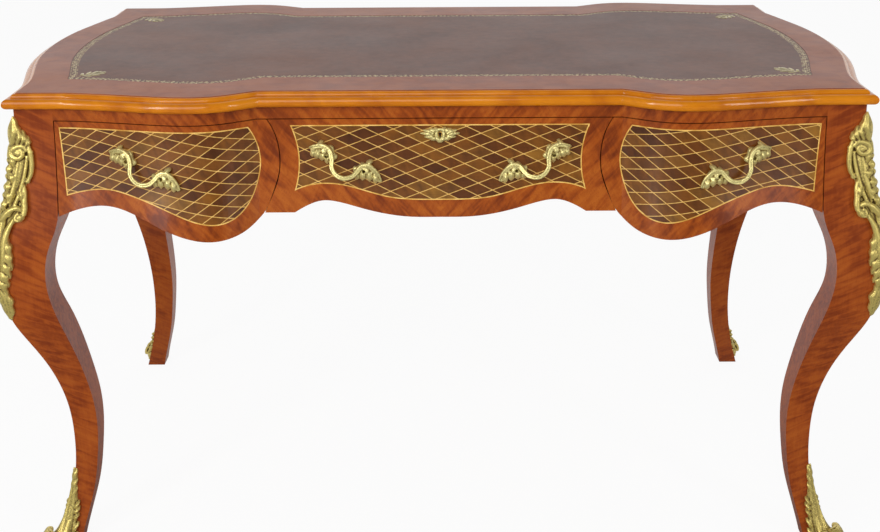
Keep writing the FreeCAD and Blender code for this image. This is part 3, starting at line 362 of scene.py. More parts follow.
@dataclass(frozen=True)
class Parquetry(Finish):
    """Lozenges of mixed woods parted by pale stringing."""
    facing: Facing
    long: float
    tall: float
    turn: float
    centre: tuple[float, float]
    string: float = 0.0012
    rounding: float = 0.0012
    woods: Stops = ((0.0, tone(88, 46, 14)), (0.28, tone(118, 66, 18)), (0.55, tone(136, 84, 22)),
                    (0.80, tone(104, 56, 20)), (1.0, tone(150, 102, 34)))
    vein: Colour = tone(46, 22, 10)
    boxwood: Stops = ((0.3, tone(198, 150, 70)), (0.7, tone(230, 188, 108)))

    def draw(self, b: Bench, shader: Node) -> None:
        """Draws the lattice, the tone and grain of each lozenge and the strings.

        Args:
            b: The material's nodes.
            shader: The shader that they feed.
        """
        place = b.here()
        x, y, z = b.parts(place)
        across = y if self.facing in (Facing.LEFT, Facing.RIGHT) else x
        flat = b.vector(b.sum("SUBTRACT", across, self.centre[0]), b.sum("SUBTRACT", z, self.centre[1]))
        lay = b.parts(b.turned(flat, (0, 0, self.turn)))
        u, v = b.sum("DIVIDE", lay[0], self.long), b.sum("DIVIDE", lay[1], self.tall)
        lines = b.sum("SUBTRACT", v, u), b.sum("ADD", v, u)
        slope = math.hypot(1 / self.long, 1 / self.tall)
        far = []
        for line in lines:
            share = b.sum("FRACT", line)
            far.append(b.sum("DIVIDE", b.sum("MINIMUM", share, b.sum("SUBTRACT", 1.0, share)), slope))
        near = b.sum("SMOOTH_MIN", *far, self.rounding)
        strings = b.step(near, self.string * 0.34, self.string * 0.60, 1.0, 0.0)
        cell = b.vector(*(b.sum("FLOOR", line) for line in lines))
        chance = b.put("TexWhiteNoise", {"Vector": cell}, noise_dimensions="3D").outputs
        away = b.put("VectorMath", {0: chance["Color"], 1: (3, 3, 3)}, operation="MULTIPLY").outputs[0]
        moved = b.put("VectorMath", {0: place, 1: away}, operation="ADD").outputs[0]
        wires = {"Vector": b.turned(moved, (0, 90, 0)), "Cloud": 30.0, "Mottle": 80.0, "Streak": 420.0}
        grain = b.put("Group", wires, node_tree=wood_figure()).outputs
        veins = b.sum("MULTIPLY", b.sum("SUBTRACT", 1.0, grain["Figure"]), 0.55)
        lozenges = b.mix(veins, b.ramp(chance["Value"], self.woods), self.vein)
        boxwood = b.ramp(b.noise(place, 180.0, 3), self.boxwood)
        polish(b, shader, roughness=0.34, spread=0.16)
        sunk = b.sum("MULTIPLY", grain["Pores"], -0.4)
        b.bump(shader, b.sum("MULTIPLY_ADD", strings, 0.5, sunk), strength=0.12, depth=0.0006)
        b.feed(shader, {"Base Color": b.mix(strings, lozenges, boxwood), "Coat Weight": 0.08,
                        "Coat Roughness": 0.15, "Specular IOR Level": 0.25})


@dataclass(frozen=True)
class Hide(Finish):
    """Polished writing leather with a fine pebble and rubbed patches."""
    dark: Colour
    light: Colour
    gloss: float = 0.22

    def dyed(self, b: Bench, blend: Socket) -> Socket:
        """Gives the dye's colour."""
        return b.ramp(blend, [(0.35, self.dark), (0.65, self.light)])

    def draw(self, b: Bench, shader: Node) -> None:
        """Draws the dyed patches, pebble and wear.

        Args:
            b: The material's nodes.
            shader: The shader that they feed.
        """
        place = b.here()
        fine = b.noise(place, 90.0, 3)
        patch = b.sum("MULTIPLY", b.noise(place, 5.0, 4, 0.6), 0.65)
        pebble = b.put("TexVoronoi", {"Vector": place, "Scale": 900.0}, feature="SMOOTH_F1")
        polish(b, shader, roughness=0.40, spread=0.14)
        height = b.sum("MULTIPLY_ADD", fine, 0.4, pebble.outputs["Distance"])
        b.bump(shader, height, strength=0.10, depth=0.0006)
        b.feed(shader, {"Base Color": self.dyed(b, b.sum("MULTIPLY_ADD", fine, 0.35, patch)),
                        "Specular IOR Level": self.gloss})


@dataclass(frozen=True)
class GoldTooling(Hide):
    """The stamped gilt border of the leather: a running chain between two rows of pearls, along its UV."""
    repeat: float = 0.016
    pearl: float = 0.008
    sway: float = 0.2
    gold: Stops = ((0.3, tone(196, 176, 120)), (0.7, tone(238, 222, 170)))

    def draw(self, b: Bench, shader: Node) -> None:
        """Draws the chain, the pearls and the worn gold.

        Args:
            b: The material's nodes.
            shader: The shader that they feed.
        """
        place = b.here()
        along, over, _ = b.parts(b.put("UVMap", uv_map="tooling").outputs[0])
        wave, beads = (b.sum("SINE", b.sum("MULTIPLY", along, 2 * math.pi / length))
                       for length in (self.repeat, self.pearl))
        middle = b.sum("SUBTRACT", over, 0.5)
        lobes = [b.sum("ABSOLUTE", b.sum("MULTIPLY_ADD", wave, sway, middle))
                 for sway in (-self.sway, self.sway)]
        chain = b.step(b.sum("MINIMUM", *lobes), 0.05, 0.11, 1.0, 0.0)
        edge = b.sum("ABSOLUTE", b.sum("SUBTRACT", b.sum("ABSOLUTE", middle), 0.38))
        rims = b.sum("MULTIPLY", b.step(edge, 0.05, 0.10, 1.0, 0.0), b.step(beads, -0.3, 0.3))
        worn = b.step(b.noise(place, 190.0, 2), 0.43, 0.55)
        gilt = b.sum("MULTIPLY", b.sum("MAXIMUM", chain, rims), worn)
        gold = b.ramp(b.noise(place, 400.0, 2), self.gold)
        b.bump(shader, gilt, strength=0.25, depth=-0.0004)
        b.feed(shader, {"Base Color": b.mix(gilt, self.dyed(b, b.noise(place, 90.0, 3)), gold),
                        "Metallic": b.sum("MULTIPLY", gilt, 0.4), "Specular IOR Level": self.gloss,
                        "Roughness": b.step(gilt, 0.0, 1.0, 0.42, 0.38)})


@dataclass(frozen=True)
class Gilt(Finish):
    """Cast and chased bronze, pale gold on the heights and dull brown in the hollows: tarnish and painted
    shade.
    """
    bright: Colour
    deep: Colour
    roughness: float = 0.30
    hollows: bool = True
    punch: float = 380.0

    def draw(self, b: Bench, shader: Node) -> None:
        """Draws the gold, the tarnish and painted shade in the hollows, and the chased texture.

        Args:
            b: The material's nodes.
            shader: The shader that they feed.
        """
        place = b.here()
        speck = b.noise(place, 700.0, 3)
        patina_and_shade = b.step(b.noise(place, 60.0, 3), 0.45, 0.85, 0.0, 0.25)
        punch = b.put("TexVoronoi", {"Vector": place, "Scale": self.punch}, feature="F1")
        pits = b.step(punch.outputs["Distance"], 0.28, 0.62)
        # The hollows, and the punch pits within them, turn dull brown: part tarnish, part painted shade
        # standing in for the shade in the recesses.
        if self.hollows:
            hollow = b.put("Attribute", attribute_name="hollow").outputs["Fac"]
            patina_and_shade = b.sum("MAXIMUM", patina_and_shade, b.step(hollow, 0.48, 0.78))
            patina_and_shade = b.sum("MAXIMUM", patina_and_shade, b.sum("MULTIPLY", pits, b.step(hollow, 0.36, 0.56, 0.1, 0.6)))
        rough = b.sum("MULTIPLY_ADD", speck, 0.16, self.roughness - 0.08)
        gold = b.mix(patina_and_shade, self.bright, self.deep)
        b.bump(shader, b.sum("MULTIPLY_ADD", pits, -0.9, speck), strength=0.22, depth=0.0008)
        b.feed(shader, {"Base Color": b.mix(b.sum("MULTIPLY", speck, 0.2), gold, self.deep),
                        "Metallic": b.step(patina_and_shade, 0.0, 1.0, 0.62, 0.3),
                        "Roughness": b.sum("MULTIPLY_ADD", patina_and_shade, 0.22, rough)})


@dataclass(frozen=True)
class DullSteel(Finish):
    """Plain filed steel with a few brown stains."""
    filed: Stops = ((0.3, tone(112, 112, 114)), (0.7, tone(158, 157, 154)))
    rust: Colour = tone(92, 66, 44)

    def draw(self, b: Bench, shader: Node) -> None:
        """Draws the file marks and stains.

        Args:
            b: The material's nodes.
            shader: The shader that they feed.
        """
        place = b.here()
        marks = b.noise(b.stretch(place, (1, 1, 0.04)), 1200.0, 2)
        stain = b.step(b.noise(place, 90.0, 4), 0.55, 0.75)
        plain = b.ramp(marks, self.filed)
        b.bump(shader, marks, strength=0.1, depth=0.0004)
        b.feed(shader, {"Base Color": b.mix(b.sum("MULTIPLY", stain, 0.5), plain, self.rust),
                        "Metallic": b.step(stain, 0.0, 1.0, 1.0, 0.6),
                        "Roughness": b.sum("MULTIPLY_ADD", marks, 0.25, 0.25)})


LEG_VENEER = PolishedWood("leg_veneer", tone(120, 48, 12), tone(150, 69, 19), tone(164, 82, 24), matched=True,
                          mottle=140.0, flame=0.17, coat=0.08, gloss=0.16)
FRONT_VENEER = PolishedWood("frieze_veneer", tone(110, 44, 10), tone(152, 71, 16), tone(174, 92, 26),
                            turn=(0, 24, 0), matched=True, mottle=105.0, flame=0.2, coat=0.1, gloss=0.16)
BORDER_VENEER = PolishedWood("top_border_veneer", tone(130, 60, 24), tone(148, 74, 30), tone(158, 84, 36),
                             turn=(0, 90, 0), mottle=30.0, cloud=8.0, roughness=0.36, coat=0.05, gloss=0.18)
MOULDING_WOOD = PolishedWood("moulding_polish", tone(180, 98, 6), tone(200, 117, 8), tone(211, 129, 14),
                             turn=(0, 90, 0), mottle=26.0, cloud=10.0, roughness=0.3, coat=0.65, gloss=0.1)
MOULDING_END = replace(MOULDING_WOOD, name="moulding_end_polish", turn=(90, 0, 0))
PLAIN_WOOD = PolishedWood("planed_wood", tone(150, 108, 64), tone(182, 140, 90), tone(206, 168, 118),
                          turn=(90, 0, 0), mottle=20.0, cloud=6.0, roughness=0.6, coat=0.0, bump=0.12)
STRING_WOOD = PolishedWood("boxwood_string", tone(190, 138, 56), tone(220, 172, 84), tone(238, 198, 112),
                           mottle=120.0, cloud=60.0, streak=700.0, roughness=0.35, coat=0.05)
LEATHER = Hide("writing_leather", tone(88, 46, 28), tone(116, 66, 40))
TOOLING = GoldTooling("gold_tooling", LEATHER.dark, LEATHER.light)
GILT = Gilt("chased_gilt", tone(238, 216, 126), tone(88, 64, 16))
GILT_PLAIN = Gilt("plain_gilt", tone(224, 204, 116), tone(104, 82, 28), hollows=False)
STAMPED_GILT = Gilt("stamped_gilt", tone(204, 188, 136), tone(124, 100, 62), hollows=False)
PULL_GILT = Gilt("pull_gilt", tone(250, 236, 160), tone(122, 96, 36), punch=520.0)
STEEL = DullSteel("filed_steel")


def placed(name: str, data: bpy.types.ID) -> bpy.types.Object:
    """Puts an object in the scene.

    Args:
        name: Its name.
        data: Its mesh, lamp or lens.

    Returns:
        The object.
    """
    made = bpy.data.objects.new(name, data)
    bpy.context.scene.collection.objects.link(made)
    return made


def dress(nodes: Iterable[str], finish: Finish) -> None:
    """Gives CAD nodes a finish.

    Args:
        nodes: The nodes' names.
        finish: The finish they get.
    """
    for name in nodes:
        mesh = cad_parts[name].data
        mesh.materials.clear()
        mesh.materials.append(finish.material())
        LOG.info("dressed %s in %s", name, finish.name)


def piece(name: str, mesh: Mesh, body: str, finishes: Sequence[Finish],
          stands_for: Sequence[str] = ()) -> None:
    """Makes a finished piece of a mesh and sets it on its body.

    Args:
        name: The piece's name.
        mesh: Its mesh, already in place.
        body: The body it moves with.
        finishes: Its finishes, in the order of its faces' material numbers.
        stands_for: The CAD nodes that it replaces.
    """
    mesh.name = name
    for finish in finishes:
        mesh.materials.append(finish.material())
    made = placed(name, mesh)
    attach(made, body)
    if stands_for:
        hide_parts(*stands_for)
    LOG.info("made %s: %d faces, on %s", name, len(mesh.polygons), body)


def copied(node: str, weld: float = 1e-6) -> Shape:
    """Copies a CAD node's mesh and merges its doubled points.

    Args:
        node: The node's name.
        weld: How near doubled points lie.

    Returns:
        The copy.
    """
    copy = bmesh.new()
    copy.from_mesh(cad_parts[node].data)
    bmesh.ops.remove_doubles(copy, verts=copy.verts, dist=weld)
    return copy


def to_mesh(shape: Shape, smooth: bool = False) -> Mesh:
    """Turns a bmesh into a mesh and frees it.

    Args:
        shape: The bmesh.
        smooth: Whether its faces are shaded smooth.

    Returns:
        The mesh.
    """
    for face in shape.faces:
        face.smooth = smooth
    mesh = bpy.data.meshes.new("shape")
    shape.to_mesh(mesh)
    shape.free()
    return mesh


def mirrored(mesh: Mesh, *axes: Axis) -> Mesh:
    """Gives a mirrored copy of a closed mesh.

    Args:
        mesh: The mesh.
        axes: The axes it is mirrored along.

    Returns:
        The new mesh.
    """
    flip = [-1.0 if axis in axes else 1.0 for axis in Axis]
    new = mesh.copy()
    new.transform(Matrix.Diagonal((*flip, 1.0, 1.0)))
    if len(axes) % 2:
        new.flip_normals()
    return new


def joined(*meshes: Mesh) -> Mesh:
    """Gives one smooth mesh of several.

    Args:
        meshes: The meshes that go into it.

    Returns:
        The new mesh.
    """
    shape = bmesh.new()
    for mesh in meshes:
        shape.from_mesh(mesh)
    return to_mesh(shape, True)


class Surface:
    """The outside of some CAD nodes, found by casting rays at it."""
    # Where a ray starts, how far above or below a miss it is cast again, and the depth where all miss.
    AHEAD = -1.0
    REACHES = (0.0, 0.003, -0.003, 0.008, -0.008, 0.016, -0.016)
    MISSED = -0.36

    def __init__(self, *nodes: str) -> None:
        """Gathers the nodes' faces.

        Args:
            nodes: The nodes' names.
        """
        points, faces = [], []
        for node in nodes:
            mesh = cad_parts[node].data
            first = len(points)
            points += [v.co.copy() for v in mesh.vertices]
            faces += [[first + i for i in p.vertices] for p in mesh.polygons]
        self.tree = BVHTree.FromPolygons(points, faces)

    def front(self, x: float, z: float) -> float:
        """Gives the depth at which the front is met, there or a little above or below.

        Args:
            x: The place along the desk.
            z: The height.

        Returns:
            The Y of the surface.
        """
        for reach in self.REACHES:
            place = self.tree.ray_cast(Vector((x, self.AHEAD, z + reach)), Vector((0, 1, 0)))[0]
            if place is not None:
                return place.y
        return self.MISSED


def smooth_path(points: Path, count: int) -> np.ndarray:
    """Draws a smooth line through points.

    Args:
        points: The points, any number of values each.
        count: How many points the line gets.

    Returns:
        The line's points, one row each.
    """
    given = np.array(points, float)
    wide = np.vstack([2 * given[0] - given[1], given, 2 * given[-1] - given[-2]])
    rows = []
    for place in np.linspace(0, len(given) - 1 - 1e-9, count):
        i, t = int(place), place - int(place)
        a, b, c, d = wide[i:i + 4]
        bend = 2 * b + (c - a) * t + (2 * a - 5 * b + 4 * c - d) * t * t
        rows.append(0.5 * (bend + (3 * b - a - 3 * c + d) * t ** 3))
    return np.array(rows)


class Casting:
    """Strokes of metal, in millimetres across, up and out from a seat, cast into one closed skin."""
    # A bar's rings for each point of its path, its least number of rings, and its sides.
    BAR_STEPS, BAR_LEAST, BAR_SIDES = 5, 8, 10
    # A scroll's points for each turn, and its least number of points.
    SCROLL_STEPS, SCROLL_LEAST = 10, 6
    # How a scroll closes, how far its inner end rises, and how far its eye does and swells.
    EASE, RISE, EYE_RISE, EYE_SWELL = 0.85, 1.5, 1.0, 0.6
    # A leaf's faces across and along, and the last step along its middle line.
    LEAF_COLUMNS, LEAF_ROWS, LEAF_END = 12, 18, 59
    # A leaf's width at its root, how late its tip narrows, and its depth.
    ROOT, TIP, THICK = 0.5, 5.0, 30.0
    # A leaf's least width, and how deep its lobes and ribs are.
    LEAST, LOBE, RIB = 0.05, 0.20, 0.16
    # A bed's faces across, its rows for each level of its outline, and its least half width.
    BED_COLUMNS, BED_STEPS, BED_LEAST = 30, 3, 0.8
    # How deep a bed's flutes are, the height from which they turn, and the height of a radian's turn.
    FLUTE, FLUTE_START, FLUTE_TURN = 0.22, 600, 16
    # How far every stroke may sink into its seat.
    SINK = -0.6

    def __init__(self) -> None:
        """Starts with no strokes."""
        self.shape = bmesh.new()

    def take(self, stroke: Shape) -> None:
        """Adds a finished stroke, its faces turned outwards, and frees it.

        Args:
            stroke: The stroke.
        """
        bmesh.ops.recalc_face_normals(stroke, faces=stroke.faces)
        mesh = to_mesh(stroke)
        self.shape.from_mesh(mesh)
        bpy.data.meshes.remove(mesh)

    def bar(self, path: Path, radii: Sequence[float], flat: float = 1.0) -> None:
        """Sweeps a round or flattened bar.

        Args:
            path: Points across, up and out.
            radii: Radii spread evenly along the path.
            flat: The section's height as a share of its width.
        """
        count = max(self.BAR_LEAST, self.BAR_STEPS * len(path))
        line = smooth_path(path, count)
        wide = np.interp(np.linspace(0, 1, count), np.linspace(0, 1, len(radii)), radii)
        stroke = bmesh.new()
        ring = bmesh.ops.create_circle(stroke, cap_ends=False, segments=self.BAR_SIDES, radius=1.0)["verts"]
        edges = list(stroke.edges)
        before = Matrix.Identity(4)
        for i in range(count):
            ahead = Vector(line[min(i + 1, count - 1)] - line[max(i - 1, 0)]).normalized()
            side = ahead.cross(Vector((0, 0, 1)))
            side = side.normalized() if side.length > 1e-4 else Vector((1, 0, 0))
            up = side.cross(ahead)
            turn = Matrix((side * wide[i], up * (wide[i] * flat), ahead)).transposed().to_4x4()
            now = Matrix.Translation(line[i]) @ turn
            if i:
                grown = bmesh.ops.extrude_edge_only(stroke, edges=edges)
                ring, edges = picked(grown, VERT), picked(grown, EDGE)
            bmesh.ops.transform(stroke, matrix=now @ before.inverted(), verts=ring)
            before = now
        bmesh.ops.holes_fill(stroke, edges=stroke.edges)
        self.take(stroke)

    def scroll(self, centre: Sequence[float], start: float, end: float, first: float, turns: float, hand: int,
               radii: Sequence[float], out: float) -> None:
        """Rolls a spiral scroll with a raised eye.

        Args:
            centre: The eye's place across and up.
            start: The spiral's outer radius.
            end: Its inner radius.
            first: The angle at which the outer end lies, in degrees.
            turns: The number of turns.
            hand: 1 to wind anticlockwise inwards, -1 clockwise.
            radii: The bar's radii from the outer end to the eye.
            out: How far the bar's middle stands out.
        """
        x, z = centre
        count = max(self.SCROLL_LEAST, int(self.SCROLL_STEPS * turns))
        path = []
        for i in range(count):
            t = i / (count - 1)
            angle = math.radians(first) + hand * t * turns * 2 * math.pi
            reach = start + (end - start) * t ** self.EASE
            path.append((x + reach * math.cos(angle), z + reach * math.sin(angle), out + self.RISE * t))
        self.bar(path, radii)
        self.bead((x, z, out + self.EYE_RISE), end + radii[-1] * self.EYE_SWELL)

    def bead(self, centre: Sequence[float], radius: float, tall: float = 1.0) -> None:
        """Sets a round bead.

        Args:
            centre: Its middle across, up and out.
            radius: Its radius.
            tall: How far it stands out, as a share of that.
        """
        stroke = bmesh.new()
        bmesh.ops.create_icosphere(stroke, subdivisions=2, radius=radius)
        bmesh.ops.scale(stroke, vec=(1, 1, tall), verts=stroke.verts)
        bmesh.ops.translate(stroke, vec=Vector(centre), verts=stroke.verts)
        self.take(stroke)

    def plate(self, columns: int, rows: int, lay: Callable[[float, float, bool], Sequence[float]]) -> None:
        """Lays a closed plate with a top and an underside.

        Args:
            columns: Its number of faces across.
            rows: Its number of faces along.
            lay: Places a point from its shares across and along, -1 to 1, and whether it is underneath.
        """
        stroke = bmesh.new()
        bmesh.ops.create_grid(stroke, x_segments=columns, y_segments=rows, size=1.0)
        top = list(stroke.verts)
        under = picked(bmesh.ops.extrude_face_region(stroke, geom=list(stroke.faces)), VERT)
        for verts, below in ((top, False), (under, True)):
            for vert in verts:
                vert.co = lay(vert.co.x, vert.co.y, below)
        self.take(stroke)

    def leaf(self, path: Path, width: float, lift: float, lobes: float = 0.0, ribs: int = 1) -> None:
        """Lays a leaf blade: ribbed, humped and lobed along its edges.

        Args:
            path: Points across, up and out along its middle, root first.
            width: Its half width at its widest.
            lift: How far its middle is humped above its edges.
            lobes: The number of lobes along each edge.
            ribs: The number of ribs on each side of the middle.
        """
        end = self.LEAF_END
        line = smooth_path(path, end + 1)

        def lay(across: float, along: float, below: bool) -> Sequence[float]:
            """Places a point of the blade.

            Args:
                across: Its share across, -1 to 1.
                along: Its share along, -1 at the root and 1 at the tip.
                below: Whether it is underneath.

            Returns:
                Its place across, up and out.
            """
            t = (along + 1) / 2
            i = min(end - 1, int(t * end))
            middle = line[i] + (line[i + 1] - line[i]) * (t * end - i)
            ahead = line[min(end, i + 2)] - line[max(0, i - 1)]
            side = Vector((ahead[1], -ahead[0], 0)).normalized()
            belly = self.ROOT + (1 - self.ROOT) * math.sin(math.pi * min(0.5 + 0.3 * t, t * 0.9 + 0.12))
            lobe = 1 + self.LOBE * math.sin(2 * math.pi * lobes * t)
            half = width * max(self.LEAST, belly * (1 - t ** self.TIP)) * lobe
            hump = lift * math.sin(math.pi * min(1.0, 0.18 + 0.82 * t)) * (1 - 0.85 * across * across)
            rib = self.RIB * lift * math.cos(math.pi * 2 * ribs * across)
            out = middle[2] + hump + rib * (1 - abs(across) ** 4) * (1 - 0.5 * t)
            if below:
                out = max(self.SINK, min(middle[2], out) - self.THICK)
            return middle[0] + side.x * half * across, middle[1] + side.y * half * across, out

        self.plate(self.LEAF_COLUMNS, self.LEAF_ROWS, lay)

    def leaves(self, blades: Iterable[tuple[Path, float]], lift: float, lobes: float, ribs: int) -> None:
        """Lays leaves of one kind, each along its own path and with its own half width."""
        for path, width in blades:
            self.leaf(path, width, lift, lobes, ribs)

    def bed(self, outline: Path, rise: float, flutes: float) -> None:
        """Lays a fluted plate over the seat's middle line, under the other strokes.

        Args:
            outline: Heights and the plate's half width at each, from the top down.
            rise: How far it stands out.
            flutes: The number of flutes on each half.
        """
        rows = self.BED_STEPS * len(outline)
        levels = smooth_path(outline, rows + 1)

        def lay(share: float, along: float, below: bool) -> Sequence[float]:
            """Places a point of the plate.

            Args:
                share: Its share across, -1 to 1.
                along: Its share along, 1 at the top and -1 at the bottom.
                below: Whether it is underneath.

            Returns:
                Its place across, up and out.
            """
            up, half = levels[round((1 - along) / 2 * rows)]
            swell = rise * (1 - 0.7 * share ** 6)
            angle = 2 * math.pi * flutes * abs(share) + (up - self.FLUTE_START) / self.FLUTE_TURN
            ridge = self.FLUTE * rise * math.cos(angle) * (1 - share ** 8)
            return share * max(half, self.BED_LEAST), up, self.SINK if below else swell + ridge

        self.plate(self.BED_COLUMNS, rows, lay)

    def both_sides(self) -> None:
        """Repeats all strokes mirrored across the seat's middle line."""
        old = list(self.shape.verts) + list(self.shape.edges) + list(self.shape.faces)
        new = bmesh.ops.duplicate(self.shape, geom=old)
        bmesh.ops.scale(self.shape, vec=(-1, 1, 1), verts=picked(new, VERT))
        bmesh.ops.reverse_faces(self.shape, faces=picked(new, FACE))

    def cast(self, seat: Seat, grain: float) -> Mesh:
        """Sets the strokes on their seat and casts them into one skin with its hollows marked.

        Args:
            seat: Gives the place of a point across, up and out.
            grain: The size of the skin's faces in metres.

        Returns:
            The closed mesh.
        """
        for vert in self.shape.verts:
            vert.co = seat(*vert.co)
        rough = placed("rough", to_mesh(self.shape))
        skin = rough.modifiers.new("skin", "REMESH")
        skin.mode, skin.voxel_size = "VOXEL", grain
        soft = rough.modifiers.new("soft", "SMOOTH")
        soft.factor, soft.iterations = 0.5, 1
        mesh = bpy.data.meshes.new_from_object(rough.evaluated_get(bpy.context.evaluated_depsgraph_get()))
        bpy.data.meshes.remove(rough.data)
        mesh.polygons.foreach_set("use_smooth", np.ones(len(mesh.polygons), bool))
        mark_hollows(mesh, grain)
        return mesh


def mark_hollows(mesh: Mesh, grain: float, passes: int = 6, contrast: float = 0.8) -> None:
    """Writes how hollow the surface is at each point, 0.5 where flat, as an attribute.

    Args:
        mesh: The mesh.
        grain: The usual length of its edges.
        passes: How often the surface is evened out to compare it with.
        contrast: How strongly a hollow of one grain shows.
    """
    count = len(mesh.vertices)
    places, normals, ends = np.zeros(count * 3), np.zeros(count * 3), np.zeros(len(mesh.edges) * 2, int)
    mesh.vertices.foreach_get("co", places)
    mesh.vertices.foreach_get("normal", normals)
    mesh.edges.foreach_get("vertices", ends)
    places, normals, ends = places.reshape(-1, 3), normals.reshape(-1, 3), ends.reshape(-1, 2)
    links = np.zeros(count)
    np.add.at(links, ends.ravel(), 1)

    def spread(values: np.ndarray) -> np.ndarray:
        """Averages each point's neighbours.

        Args:
            values: A number or a place for each point.

        Returns:
            The averages.
        """
        total = np.zeros_like(values)
        np.add.at(total, ends[:, 0], values[ends[:, 1]])
        np.add.at(total, ends[:, 1], values[ends[:, 0]])
        return total / (links if values.ndim == 1 else links[:, None])

    wide = places
    for _ in range(passes):
        wide = spread(wide)
    hollow = np.einsum("ij,ij->i", wide - places, normals) / grain
    hollow = 0.5 * hollow + 0.5 * spread(hollow)
    mark = mesh.attributes.new("hollow", "FLOAT", "POINT")
    mark.data.foreach_set("value", np.clip(0.5 + contrast * hollow, 0, 1).astype(np.float32))


@dataclass
class Top:
    """The top: its lining, veneered border, tooled leather and moulded edge."""
    weld: float = 4e-4
    level: float = 0.9
    margin: float = 0.001
    band: float = 0.013
    spray: tuple[float, float] = (0.564, 0.234)
    spray_length: float = 0.040
    spray_turn: float = -138
    spray_aside: float = 0.08
    spray_overlap: float = 0.8
    leaf_sides: int = 14
    spray_thick: float = 3e-4
    spray_sink: float = 1e-4
    spray_order: Triple = (1.0, 0.61, 0.37)

    def build(self) -> None:
        """Makes the leather and its tooling, and dresses the rest."""
        dress(["top_panel"], PLAIN_WOOD)
        dress(["top_crossband"], BORDER_VENEER)
        dress(["edge_moulding_front", "edge_moulding_back"], MOULDING_WOOD)
        dress(["edge_moulding_left", "edge_moulding_right"], MOULDING_END)
        self.leather()
        self.sprays()

    def sprays(self) -> None:
        """Lays a stamped leaf spray in each corner of the leather, pointing to its middle."""
        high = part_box("leather_inset")[1].z
        size = self.spray_length
        shape = bmesh.new()
        leaves = [(0.0, 0.0, 0.5, 0.05, 0.0), (0.46, 0.0, 0.26, 0.085, 0.0)]
        for side in (-1, 1):
            for along, long, wide, turn in ((-0.30, 0.20, 0.07, 60.0), (-0.10, 0.26, 0.08, 42.0),
                                            (0.14, 0.24, 0.08, 30.0), (0.34, 0.17, 0.06, 24.0)):
                leaves.append((along, side * self.spray_aside, long, wide, side * turn))
        for along, aside, long, wide, turn in leaves:
            blade = bmesh.ops.create_circle(shape, cap_ends=True, segments=self.leaf_sides, radius=1.0)
            step = 0.0 if turn == 0 else long * self.spray_overlap
            laid = (Matrix.Translation((along * size, aside * size, 0))
                    @ Matrix.Rotation(math.radians(turn), 4, "Z") @ Matrix.Translation((step * size, 0, 0))
                    @ Matrix.Diagonal((long * size, wide * size, 1.0, 1.0)))
            bmesh.ops.transform(shape, matrix=laid, verts=blade["verts"])
        grown = bmesh.ops.extrude_face_region(shape, geom=list(shape.faces))
        bmesh.ops.translate(shape, vec=(0, 0, self.spray_thick), verts=picked(grown, VERT))
        bmesh.ops.recalc_face_normals(shape, faces=shape.faces)
        turned = Matrix.Rotation(math.radians(self.spray_turn), 4, "Z")
        bmesh.ops.rotate(shape, matrix=turned, verts=shape.verts)
        bmesh.ops.translate(shape, vec=(*self.spray, high - self.spray_sink), verts=shape.verts)
        # The extrusion makes the faces in no set order, so they are sorted to be the same each run.
        shape.faces.sort(key=lambda face: face.calc_center_median().dot(Vector(self.spray_order)))
        one = to_mesh(shape)
        sprays = joined(one, mirrored(one, Axis.X), mirrored(one, Axis.Y), mirrored(one, Axis.X, Axis.Y))
        piece("leather_corner_sprays", sprays, "desk", [STAMPED_GILT])

    def leather(self) -> None:
        """Makes the leather with a tooled band just inside its edge."""
        shape = copied("leather_inset")
        bmesh.ops.remove_doubles(shape, verts=shape.verts, dist=self.weld)
        flat = [f for f in shape.faces if f.normal.z > self.level]
        upper = bmesh.ops.dissolve_faces(shape, faces=flat)["region"]
        bmesh.ops.inset_region(shape, faces=upper, thickness=self.margin)
        ring = bmesh.ops.inset_region(shape, faces=upper, thickness=self.band)["faces"]
        self.lay_tooling(shape, set(ring), upper)
        piece("tooled_leather", to_mesh(shape), "desk", [LEATHER, TOOLING], ["leather_inset"])

    @staticmethod
    def lay_tooling(shape: Shape, band: set, inner: Iterable[bmesh.types.BMFace]) -> None:
        """Lays the tooled band's UV along its length and marks its faces.

        Args:
            shape: The leather's bmesh.
            band: The band's faces.
            inner: The faces inside the band.
        """
        sheet = shape.loops.layers.uv.new("tooling")
        outside = {v for f in band for v in f.verts} - {v for f in inner for v in f.verts}
        rim = {v: [e.other_vert(v) for e in v.link_edges if e.other_vert(v) in outside
                   and any(f in band for f in e.link_faces)] for v in outside}
        start = min(outside, key=lambda v: (round(v.co.y, 5), v.co.x))
        run, last, now, length = {start: 0.0}, None, start, 0.0
        while True:
            nearby = next(v for v in rim[now] if v is not last)
            length += (nearby.co - now.co).length
            if nearby is start:
                break
            run[nearby] = length
            last, now = now, nearby
        for face in band:
            face.material_index = 1
            for loop in face.loops:
                vert, over = loop.vert, 0.0
                if vert not in outside:
                    ends = [e.other_vert(vert) for e in vert.link_edges]
                    vert, over = next(v for v in ends if v in outside), 1.0
                loop[sheet].uv = (run[vert], over)
            longest = max(loop[sheet].uv.x for loop in face.loops)
            for loop in face.loops:
                if longest - loop[sheet].uv.x > length / 2:
                    loop[sheet].uv.x += length


